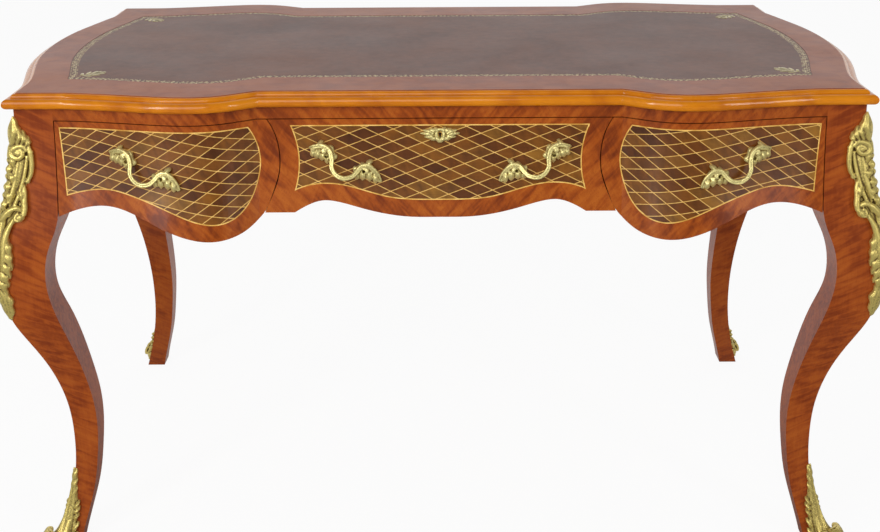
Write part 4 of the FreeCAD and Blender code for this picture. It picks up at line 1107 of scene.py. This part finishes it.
@dataclass
class Carcase:
    """The legs, rails, aprons and inner frame."""
    legs: tuple = ("leg_front_left", "leg_front_right", "leg_back_left", "leg_back_right")
    faces: tuple = ("front_top_rail", "back_top_rail", "front_lower_rail", "back_lower_rail",
                    "left_side_apron", "right_side_apron", "back_panel_left", "back_panel_middle",
                    "back_panel_right")
    inner: tuple = ("drawer_runners", "drawer_dividers", "drawer_guides", "drawer_kickers", "corner_blocks")
    lattice: tuple = (0.044, 0.0192, 0.0, (0.0, 0.690))
    block: Triple = (0.046, 0.012, 0.029)
    block_x: float = 0.266
    block_taper: float = 0.8
    block_round: float = 0.0015

    def build(self) -> None:
        """Dresses the carcase and makes its inlaid panels and glue blocks."""
        dress(self.legs, LEG_VENEER)
        dress(self.faces, FRONT_VENEER)
        dress(self.inner, PLAIN_WOOD)
        dress(["top_screws"], STEEL)
        inlay("back_parquetry", "desk", [Facing.BACK], Parquetry("back_lozenges", Facing.BACK, *self.lattice))
        inlay("side_parquetry", "desk", [Facing.LEFT, Facing.RIGHT],
              Parquetry("side_lozenges", Facing.LEFT, *self.lattice))
        self.glue_blocks()

    def glue_blocks(self) -> None:
        """Glues a block under the front lower rail behind each seam between the drawer fronts."""
        low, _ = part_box("front_lower_rail")
        _, deep, tall = self.block
        shape = bmesh.new()
        corners = bmesh.ops.create_cube(shape, size=1.0)["verts"]
        bmesh.ops.scale(shape, vec=(self.block_taper, 1, 1), verts=[v for v in corners if v.co.z < 0])
        bmesh.ops.scale(shape, vec=self.block, verts=corners)
        bmesh.ops.bevel(shape, geom=list(shape.edges), offset=self.block_round, affect="EDGES", segments=2,
                        profile=0.5, material=-1)
        bmesh.ops.translate(shape, vec=(self.block_x, low.y + deep / 2, low.z - tall / 2), verts=shape.verts)
        one = to_mesh(shape)
        piece("front_glue_blocks", joined(one, mirrored(one, Axis.X)), "desk", [PLAIN_WOOD])


def inlay(node: str, body: str, facings: Sequence[Facing], finish: Finish, string: float = 0.0018,
          square: float = 0.45) -> None:
    """Makes a parquetry panel with a pale string round its edge, in place of its CAD node.

    Args:
        node: The panel's CAD node.
        body: The body it moves with.
        facings: The sides that its faces look to.
        finish: The lozenges' finish.
        string: The string's width.
        square: How squarely a face has to look to a side to count, at most 1.
    """
    shape = copied(node)
    shown = [f for f in shape.faces if any(f.normal.dot(Vector(side.value)) > square for side in facings)]
    for face in bmesh.ops.inset_region(shape, faces=shown, thickness=string, use_even_offset=True)["faces"]:
        face.material_index = 1
    piece(node + "_panel", to_mesh(shape), body, [finish, STRING_WOOD], [node])


@dataclass
class Drawers:
    """The three drawers: their fronts, boxes, inlay and lock."""
    lattices: tuple = (("left_drawer", 0.0427, 0.0184, -10.8, (-0.4254, 0.6830)),
                       ("middle_drawer", 0.0449, 0.0192, 3.1, (-0.0070, 0.6837)),
                       ("right_drawer", 0.0449, 0.0190, 13.5, (0.4248, 0.6780)))

    def build(self) -> None:
        """Dresses the drawers and makes their inlay."""
        for name, *lattice in self.lattices:
            dress([name + "_front"], FRONT_VENEER)
            dress([name + part for part in ("_sides", "_back", "_bottom")], PLAIN_WOOD)
            dress([name + "_pull_bolts"], GILT_PLAIN)
            lozenges = Parquetry(name + "_lozenges", Facing.FRONT, *lattice)
            inlay(name + "_parquetry", name, [Facing.FRONT], lozenges)
        dress(["lock_case", "lock_bolt"], STEEL)
        dress(["back_pull_bolts"], GILT_PLAIN)


@dataclass
class LegLine:
    """The outer faces of a front leg, read from its CAD mesh."""
    node: str = "leg_front_right"
    corner: tuple[float, float] = (0.6495, -0.3605)
    inside: float = 0.016
    levels: int = 240
    inset: float = 5e-4
    away: float = 2.0
    wrap: float = 20.0
    heights: np.ndarray = field(init=False)
    sides: np.ndarray = field(init=False)
    fronts: np.ndarray = field(init=False)

    def __post_init__(self) -> None:
        """Reads where the leg's side and front faces lie at each height, from the top down."""
        skin = Surface(self.node).tree
        low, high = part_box(self.node)
        self.heights = np.linspace(low.z + self.inset, high.z - self.inset, self.levels)
        x, y = self.corner
        met = []
        for z in self.heights[::-1]:
            x = skin.ray_cast(Vector((self.away, y + self.inside, z)), Vector((-1, 0, 0)))[0].x
            y = skin.ray_cast(Vector((x - self.inside, -self.away, z)), Vector((0, 1, 0)))[0].y
            met.append((x, y))
        self.sides, self.fronts = np.array(met[::-1]).T

    def seat(self, across: float, up: float, out: float) -> Vector:
        """Places a point wrapped round the leg's outer edge.

        Args:
            across: Millimetres from the edge, below zero on the front face.
            up: Height in millimetres.
            out: Millimetres out from the face.

        Returns:
            The place in metres.
        """
        z = up * MM
        x = float(np.interp(z, self.heights, self.sides))
        y = float(np.interp(z, self.heights, self.fronts))
        share = min(1.0, max(0.0, across / self.wrap + 0.5))
        angle = math.pi / 2 * share * share * (3 - 2 * share)
        return Vector((x + (min(across, 0.0) + out * math.sin(angle)) * MM,
                       y + (max(across, 0.0) - out * math.cos(angle)) * MM, z))


@dataclass
class Mounts:
    """The gilt mounts on the legs: knee mounts and foot mounts."""
    grain: float = 0.001
    back_toe: float = 0.45

    def build(self) -> None:
        """Casts one of each on the right front leg and mirrors it to the rest."""
        line = LegLine()
        knee = self.knee().cast(line.seat, self.grain)
        for name, axes in (("front_right", ()), ("front_left", (Axis.X,)), ("back_right", (Axis.Y,)),
                           ("back_left", (Axis.X, Axis.Y))):
            copy = mirrored(knee, *axes)
            piece("knee_casting_" + name, copy, "desk", [GILT], ["knee_mount_" + name])
        for end, toe, axes in (("front", 1.0, ()), ("back", self.back_toe, (Axis.Y,))):
            foot = self.foot(toe).cast(line.seat, self.grain)
            pair = mirrored(joined(foot, mirrored(foot, Axis.X)), *axes)
            piece(end + "_foot_castings", pair, "desk", [GILT], [end + "_sabots"])

    def knee(self) -> Casting:
        """Models the knee mount: flame crest, volute, smooth body with leaf tips, scroll, stem and leaves.

        Returns:
            The strokes.
        """
        c = Casting()
        c.leaves((([(1, 714, 4), (4, 738, 7), (0, 760, 3)], 5.5),
                  ([(6, 716, 4), (10, 730, 7), (6, 746, 3)], 4.6),
                  ([(11, 714, 4), (16, 726, 6), (13, 739, 3)], 4.6),
                  ([(17, 712, 4), (22, 720, 5), (21, 730, 2)], 4.2)), 4, 2.5, 1)
        c.scroll((10, 704), 12.5, 2.8, 15, 1.5, 1, [3.0, 4.2, 4.0, 3.4, 2.6], 6)
        c.bar([(21, 717, 4), (27, 704, 5), (31, 686, 5), (31, 670, 5), (26, 659, 5)],
              [3.4, 4.0, 4.0, 3.8, 3.0], 0.9)
        c.bar([(22, 700, 4), (22, 676, 5), (19, 650, 6), (14, 626, 7), (7, 608, 7)],
              [2.4, 2.8, 3.0, 3.2, 3.0])
        c.bar([(10, 694, 4), (9, 672, 5), (8, 650, 6), (5, 628, 6)], [2.8, 3.0, 3.0, 2.6])
        c.bar([(20, 657, 4), (25, 644, 5), (27, 631, 6), (30, 619, 6.5), (30, 609, 7)],
              [3.2, 4.2, 4.6, 4.8, 4.6], 0.9)
        c.bead((24.5, 607, 6), 8.6, 0.8)
        c.scroll((24, 607), 7.0, 2.2, 100, 1.0, 1, [2.6, 2.4, 2.0], 10)
        c.bar([(26, 616, 6), (17, 621, 8), (8, 617, 8), (1, 603, 7)], [3.0, 4.2, 4.4, 3.8])
        for k in range(9):
            c.bead((31.5 - abs(k - 4) * 0.5 - 0.06 * (k - 4) ** 2, 705 - 5.6 * k, 4.5), 3.3)
        c.leaf([(9, 704, 3), (10, 672, 5), (6, 622, 5)], 8.5, 2.2, 0, 2)
        for high, lean in ((700, 4), (688, 1), (675, 5), (661, 2), (647, 4), (634, 1)):
            c.leaf([(0, high, 4), (lean, high - 8, 8), (lean * 1.4, high - 20, 5)], 3.0, 2.6, 2.5, 1)
        c.leaf([(16, 650, 4), (22, 640, 8), (24, 628, 5)], 5, 3.5, 1.5, 1)
        c.bar([(16, 604, 5), (10, 588, 6), (8, 568, 6), (9, 546, 6), (8, 524, 5)],
              [3.6, 4.4, 4.6, 4.2, 3.0], 0.85)
        c.bar([(0, 612, 5), (0, 560, 5), (0, 510, 5), (0, 478, 4)], [5.0, 5.4, 5.0, 3.4], 0.9)
        c.leaves((([(6, 572, 4), (13, 558, 7), (20, 538, 3)], 6.0),
                  ([(7, 556, 4), (15, 542, 7), (21, 522, 3)], 6.4),
                  ([(6, 540, 4), (13, 526, 7), (18, 508, 3)], 6.2),
                  ([(5, 524, 4), (10, 511, 7), (14, 494, 3)], 5.8),
                  ([(3, 512, 4), (7, 498, 7), (8, 482, 3)], 5.4)), 3, 2.5, 2)
        c.leaf([(3, 492, 4), (7, 466, 5), (2, 434, 3)], 8, 4, 3, 2)
        c.both_sides()
        c.bed([(748, 3), (735, 13), (722, 18), (712, 22), (700, 28), (685, 31), (670, 31), (660, 27),
               (648, 25), (636, 25), (622, 28), (610, 28), (600, 22), (592, 14), (575, 11), (560, 13),
               (548, 18), (538, 19), (529, 15), (520, 17), (506, 15), (495, 10), (480, 10), (465, 10),
               (450, 8), (437, 4)], 3.4, 2.2)
        return c

    def foot(self, toe: float) -> Casting:
        """Models the foot mount: a pointed fluted blade up the edge, ragged sides and a rolled toe.

        Args:
            toe: How far the toe rolls out, as a share of the front feet's.

        Returns:
            The strokes.
        """
        c = Casting()
        for k in range(4):
            c.leaf([(1, 112 - 15 * k, 3), (2.5 + 0.9 * k, 122 - 15 * k, 4.5),
                    (3.5 + 1.3 * k, 133 - 15 * k, 2)], 2.4 + 0.4 * k, 1.8, 1.5, 1)
        c.bar([(2, 122, 3), (4, 96, 4), (7, 64, 5), (10, 32, 5), (12, 4, 4)], [1.4, 1.8, 2.4, 3.0, 3.0])
        c.bar([(8, 76, 3), (12, 58, 4), (16, 32, 4), (18, 4, 3.5)], [1.6, 2.2, 2.6, 2.8])
        c.bar([(2.5, 104, 3), (3.5, 80, 4), (4.5, 54, 5), (5, 34, 6)], [1.6, 2.6, 3.4, 3.6], 0.8)
        c.leaves((([(8, 66, 4), (12, 72, 7), (14, 79, 3)], 4.0),
                  ([(9, 58, 4), (14, 63, 7), (17, 69, 3)], 4.4),
                  ([(11, 49, 4), (16, 53, 7), (18, 58, 3)], 4.2),
                  ([(15, 28, 4), (19, 35, 6), (22, 43, 3)], 4.6),
                  ([(16, 10, 4), (21, 18, 6), (25, 27, 3)], 4.8)), 3.2, 1.5, 1)
        roll = [(6, 46, 5), (6, 28, 9), (6, 17, 16), (6, 14, 24), (5, 20, 30), (5, 28, 29), (5, 29, 23),
                (5, 25, 20)]
        c.bar([(across, up, 5 + (out - 5) * toe) for across, up, out in roll],
              [3.4, 4.2, 4.6, 4.4, 4.0, 3.6, 3.0, 2.4])
        c.both_sides()
        tongue = [(136, 3), (90, 4), (46, 6), (24, 11), (14, 19), (14, 28), (24, 34), (33, 31), (32, 24),
                  (26, 22)]
        c.bar([(0, up, min(out, 5) + max(out - 5, 0) * toe) for up, out in tongue],
              [1.4, 2.6, 4.2, 5.2, 5.4, 5.0, 4.6, 4.0, 3.2, 2.6])
        c.bed([(134, 2), (124, 3.5), (108, 5), (94, 7), (84, 9.5), (74, 13), (62, 16), (52, 17), (38, 19),
               (20, 21), (8, 22), (1, 22)], 4.2, 1.6)
        return c


@dataclass
class Pulls:
    """The cast pulls and the key plate."""
    high: float = 685.0
    grain: float = 0.0009
    side_x: float = -449.0
    middle_x: float = -146.0
    key_high: float = 727.0
    key_grain: float = 0.0007

    def build(self) -> None:
        """Casts the left pulls and mirrors them to the right and to the back, and casts the key plate."""
        side = self.pull("left_drawer", self.side_x)
        middle = self.pull("middle_drawer", self.middle_x)
        right = mirrored(side, Axis.X)
        both = joined(middle, mirrored(middle, Axis.X))
        behind = mirrored(joined(side, right, both), Axis.Y)
        plate = self.key_plate()
        for name, mesh, body, node in (("back_pull_castings", behind, "desk", "back_pulls"),
                                       ("left_pull_casting", side, "left_drawer", "left_drawer_pull"),
                                       ("right_pull_casting", right, "right_drawer", "right_drawer_pull"),
                                       ("middle_pull_castings", both, "middle_drawer", "middle_drawer_pulls"),
                                       ("key_plate_casting", plate, "middle_drawer", "escutcheon")):
            piece(name, mesh, body, [PULL_GILT], [node])

    @staticmethod
    def seat_on(drawer: str, x: float, high: float) -> Seat:
        """Finds a seat on a drawer's face.

        Args:
            drawer: The drawer.
            x: The seat's middle along the desk in millimetres.
            high: Its height in millimetres.

        Returns:
            The way to place a point across, up and out from the seat.
        """
        face = Surface(drawer + "_front", drawer + "_parquetry")

        def seat(across: float, up: float, out: float) -> Vector:
            """Places a point out from the drawer's face."""
            east, top = (x + across) * MM, (high + up) * MM
            return Vector((east, face.front(east, top) - out * MM, top))

        return seat

    def pull(self, drawer: str, x: float) -> Mesh:
        """Casts a pull: two leaves joined by a sagging bar.

        Args:
            drawer: The drawer that it is bolted to.
            x: Its middle along the desk in millimetres.

        Returns:
            The mesh.
        """
        c = Casting()
        ribbon = [(-54, 23, 3), (-45, 26, 6), (-34, 27, 8), (-24, 21, 10), (-20, 9, 12), (-20, -4, 15),
                  (-14, -14, 17), (-3, -19.5, 18), (10, -18, 16), (18, -12, 12), (25, -5, 9), (35, -4, 8),
                  (43, -10, 7), (50, -19, 5), (54, -30, 3)]
        c.bar(ribbon, [1.8, 3.0, 4.0, 4.0, 3.4, 3.2, 3.2, 3.3, 3.2, 3.4, 4.0, 4.2, 3.8, 3.0, 1.6])
        for shift in (-1.8, 1.8):
            strand = []
            for i, (across, up, out) in enumerate(ribbon):
                ahead = Vector(ribbon[min(i + 1, len(ribbon) - 1)][:2]) - Vector(ribbon[max(i - 1, 0)][:2])
                side = Vector((-ahead.y, ahead.x)).normalized() * shift
                strand.append((across + side.x, up + side.y, out + 2.0))
            c.bar(strand, [1.0, 1.6, 2.0, 2.0, 1.8, 1.7, 1.7, 1.7, 1.7, 1.8, 2.0, 2.2, 2.0, 1.6, 1.0])
        c.leaf([(-19, 3, 4), (-26, 15, 6), (-39, 20, 6), (-56, 23, 2)], 10.5, 5, 3.5, 2)
        c.leaf([(14, -17, 4), (26, -13, 6), (38, -16, 6), (54, -31, 2)], 11, 5, 3.5, 2)
        c.leaves((([(-46, 22, 5), (-49, 16, 8), (-51, 9, 4)], 5.0),
                  ([(-38, 22, 6), (-42, 14, 9), (-45, 6, 4)], 5.4),
                  ([(-30, 20, 7), (-34, 12, 10), (-36, 3, 5)], 5.4),
                  ([(-24, 14, 7), (-27, 7, 10), (-28, -2, 5)], 4.6),
                  ([(19, -11, 6), (18, -19, 8), (16, -27, 4)], 4.8),
                  ([(27, -8, 7), (27, -18, 10), (26, -28, 4)], 5.4),
                  ([(36, -8, 7), (37, -19, 10), (37, -30, 4)], 5.4),
                  ([(44, -15, 6), (46, -24, 8), (46, -33, 4)], 4.8),
                  ([(-40, 26, 6), (-38, 30, 8), (-33, 33, 4)], 3.8),
                  ([(34, -3, 6), (38, 1, 8), (43, 1, 4)], 3.6)), 3.6, 1.5, 1)
        c.scroll((-31, 20), 4.4, 1.5, 20, 0.9, 1, [2.0, 2.0, 1.8], 12)
        c.scroll((32, -11), 4.4, 1.5, 160, 0.9, -1, [2.0, 2.0, 1.8], 12)
        return c.cast(self.seat_on(drawer, x, self.high), self.grain)

    def key_plate(self) -> Mesh:
        """Casts the pierced key plate: a ring of leaves round a slot.

        Returns:
            The mesh.
        """
        c = Casting()
        for x, z, width in ((31, 2, 3.8), (27, 7, 3.4), (25, -4, 3.6), (18, 9, 3.8), (16, -8, 3.8),
                            (9, 11, 3.4), (7, -10, 3.4)):
            c.leaf([(4 + x * 0.2, z * 0.2, 2), (x * 0.62, z * 0.72, 4.5), (x, z, 2)], width, 2.4, 1, 1)
        c.leaf([(2, -7, 2), (1, -10, 4), (0, -13, 2)], 3.4, 2, 0, 1)
        for x, z in ((12, 2), (18, 3), (23, 2), (13, -4)):
            c.bead((x, z, 4), 2.6)
        c.bar([(4.5, 8, 4), (5.5, 0, 4), (4.0, -8, 4)], [2.2, 2.6, 2.2])
        c.bar([(0, 8.5, 4), (4.5, 8, 4)], [2.2, 2.2])
        c.bar([(0, -8.5, 4), (4.0, -8, 4)], [2.2, 2.2])
        c.both_sides()
        return c.cast(self.seat_on("middle_drawer", 0.0, self.key_high), self.key_grain)


@dataclass
class Studio:
    """The pale floor, the white surroundings, the lamps and the camera."""
    place: Triple = (0.003, -2.2056, 1.2564)
    pitch: float = 18.0
    roll: float = 0.33
    focal: float = 1252.4
    principal: tuple[float, float] = (440.0, 178.0)
    image: tuple[int, int] = (880, 532)
    sensor: float = 36.0
    dim: float = 0.10
    fill: float = 0.36
    fill_behind: float = 0.8
    white: Colour = (1, 1, 1, 1)
    pale: Stops = ((0.3, (0.84, 0.84, 0.84, 1)), (0.7, (0.88, 0.88, 0.88, 1)))
    floor_size: float = 14.0
    floor_show: float = 0.93
    aim: Triple = (0, 0, 0.6)
    hung: tuple = (("key_lamp", (-0.9, -3.1, 2.3), (2.4, 2.4), 48.0),
                   ("left_lamp", (-2.1, -2.9, 1.6), (0.4, 1.8), 26.0),
                   ("right_lamp", (2.3, -2.7, 1.6), (0.4, 1.8), 18.0))

    def build(self) -> None:
        """Sets up the whole studio."""
        bpy.context.scene.view_settings.view_transform = "Standard"
        self.floor()
        self.world()
        self.lamps()
        self.camera()

    @staticmethod
    def rays(b: Bench) -> tuple[Socket, Socket, Socket]:
        """Tells apart the rays that show the room.

        Args:
            b: The nodes to draw in.

        Returns:
            Whether a ray is the camera's own, whether it is a mirrored one, and whether it is either.
        """
        path = b.put("LightPath").outputs
        own = path["Is Camera Ray"]
        mirror = b.sum("MAXIMUM", path["Is Glossy Ray"], path["Is Transmission Ray"])
        return own, mirror, b.sum("MAXIMUM", own, mirror)

    def floor(self) -> None:
        """Lays a wide pale floor that shows white and keeps the desk's shadow, with a painted glow behind the
        desk in mirrors.
        """
        shape = bmesh.new()
        bmesh.ops.create_grid(shape, x_segments=1, y_segments=1, size=self.floor_size)
        mesh = to_mesh(shape)
        mesh.name = "studio_floor"
        paint = bpy.data.materials.new("studio_floor")
        paint.use_nodes = True
        nodes = paint.node_tree.nodes
        b = Bench(paint.node_tree)
        shader = nodes["Principled BSDF"]
        own, _, seen = self.rays(b)
        b.feed(shader, {"Base Color": b.ramp(b.noise(b.here(), 3.0, 2), self.pale), "Roughness": 0.9})
        # Mirrored rays see the floor glow dim in front of the desk and bright behind it: a painted pool of
        # light that puts a painted sheen on the legs' inner faces.
        white_and_painted_glow = b.sum("MAXIMUM", own, b.step(b.parts(b.here())[1], -0.5, 0.9, 0.14, 0.9))
        white = b.put("Emission", {"Color": self.white, "Strength": white_and_painted_glow}).outputs[0]
        share = b.sum("MULTIPLY", seen, self.floor_show)
        both = b.put("MixShader", {0: share, 1: shader.outputs[0], 2: white})
        b.feed(nodes["Material Output"], {"Surface": both.outputs[0]})
        mesh.materials.append(paint)
        made = placed("studio_floor", mesh)

    def world(self) -> None:
        """Lights the room evenly and shows it white."""
        world = bpy.data.worlds.new("studio")
        bpy.context.scene.world = world
        world.use_nodes = True
        b = Bench(world.node_tree)
        own, mirror, seen = self.rays(b)
        depth = b.parts(b.put("TexCoord").outputs["Generated"])[1]
        shown = b.sum("MULTIPLY_ADD", mirror, b.step(depth, 0.10, 0.80, self.dim, 1.0), own)
        level = b.step(depth, -0.2, 0.9, self.fill, self.fill_behind)
        soft = b.sum("MULTIPLY", b.sum("SUBTRACT", 1.0, seen), level)
        back = world.node_tree.nodes["Background"]
        b.feed(back, {"Color": self.white, "Strength": b.sum("ADD", shown, soft)})

    def lamps(self) -> None:
        """Hangs a soft lamp above the front and a tall one at each side that glints on the mouldings."""
        for name, place, size, power in self.hung:
            lamp = bpy.data.lights.new(name, "AREA")
            lamp.energy, lamp.shape = power, "RECTANGLE"
            lamp.size, lamp.size_y = size
            made = placed(name, lamp)
            made.location = place
            made.rotation_euler = (Vector(self.aim) - Vector(place)).to_track_quat("-Z", "Y").to_euler()

    def camera(self) -> None:
        """Sets the camera at the photograph's place and lens."""
        wide, tall = self.image
        lens = bpy.data.cameras.new("camera")
        lens.sensor_width = self.sensor
        lens.lens = self.focal * self.sensor / wide
        lens.shift_x = (wide / 2 - self.principal[0]) / wide
        lens.shift_y = (self.principal[1] - tall / 2) / wide
        made = placed("camera", lens)
        made.location = self.place
        made.rotation_euler = Euler((math.radians(90 - self.pitch), math.radians(self.roll), 0.0))
        bpy.context.scene.camera = made


def main() -> None:
    """Builds the desk's looks and the studio."""
    logging.basicConfig(level=logging.INFO, format="%(name)s: %(message)s")
    for part in (Top(), Carcase(), Drawers(), Mounts(), Pulls(), Studio()):
        LOG.info("building %s", type(part).__name__)
        part.build()


if __name__ == "__main__":
    main()
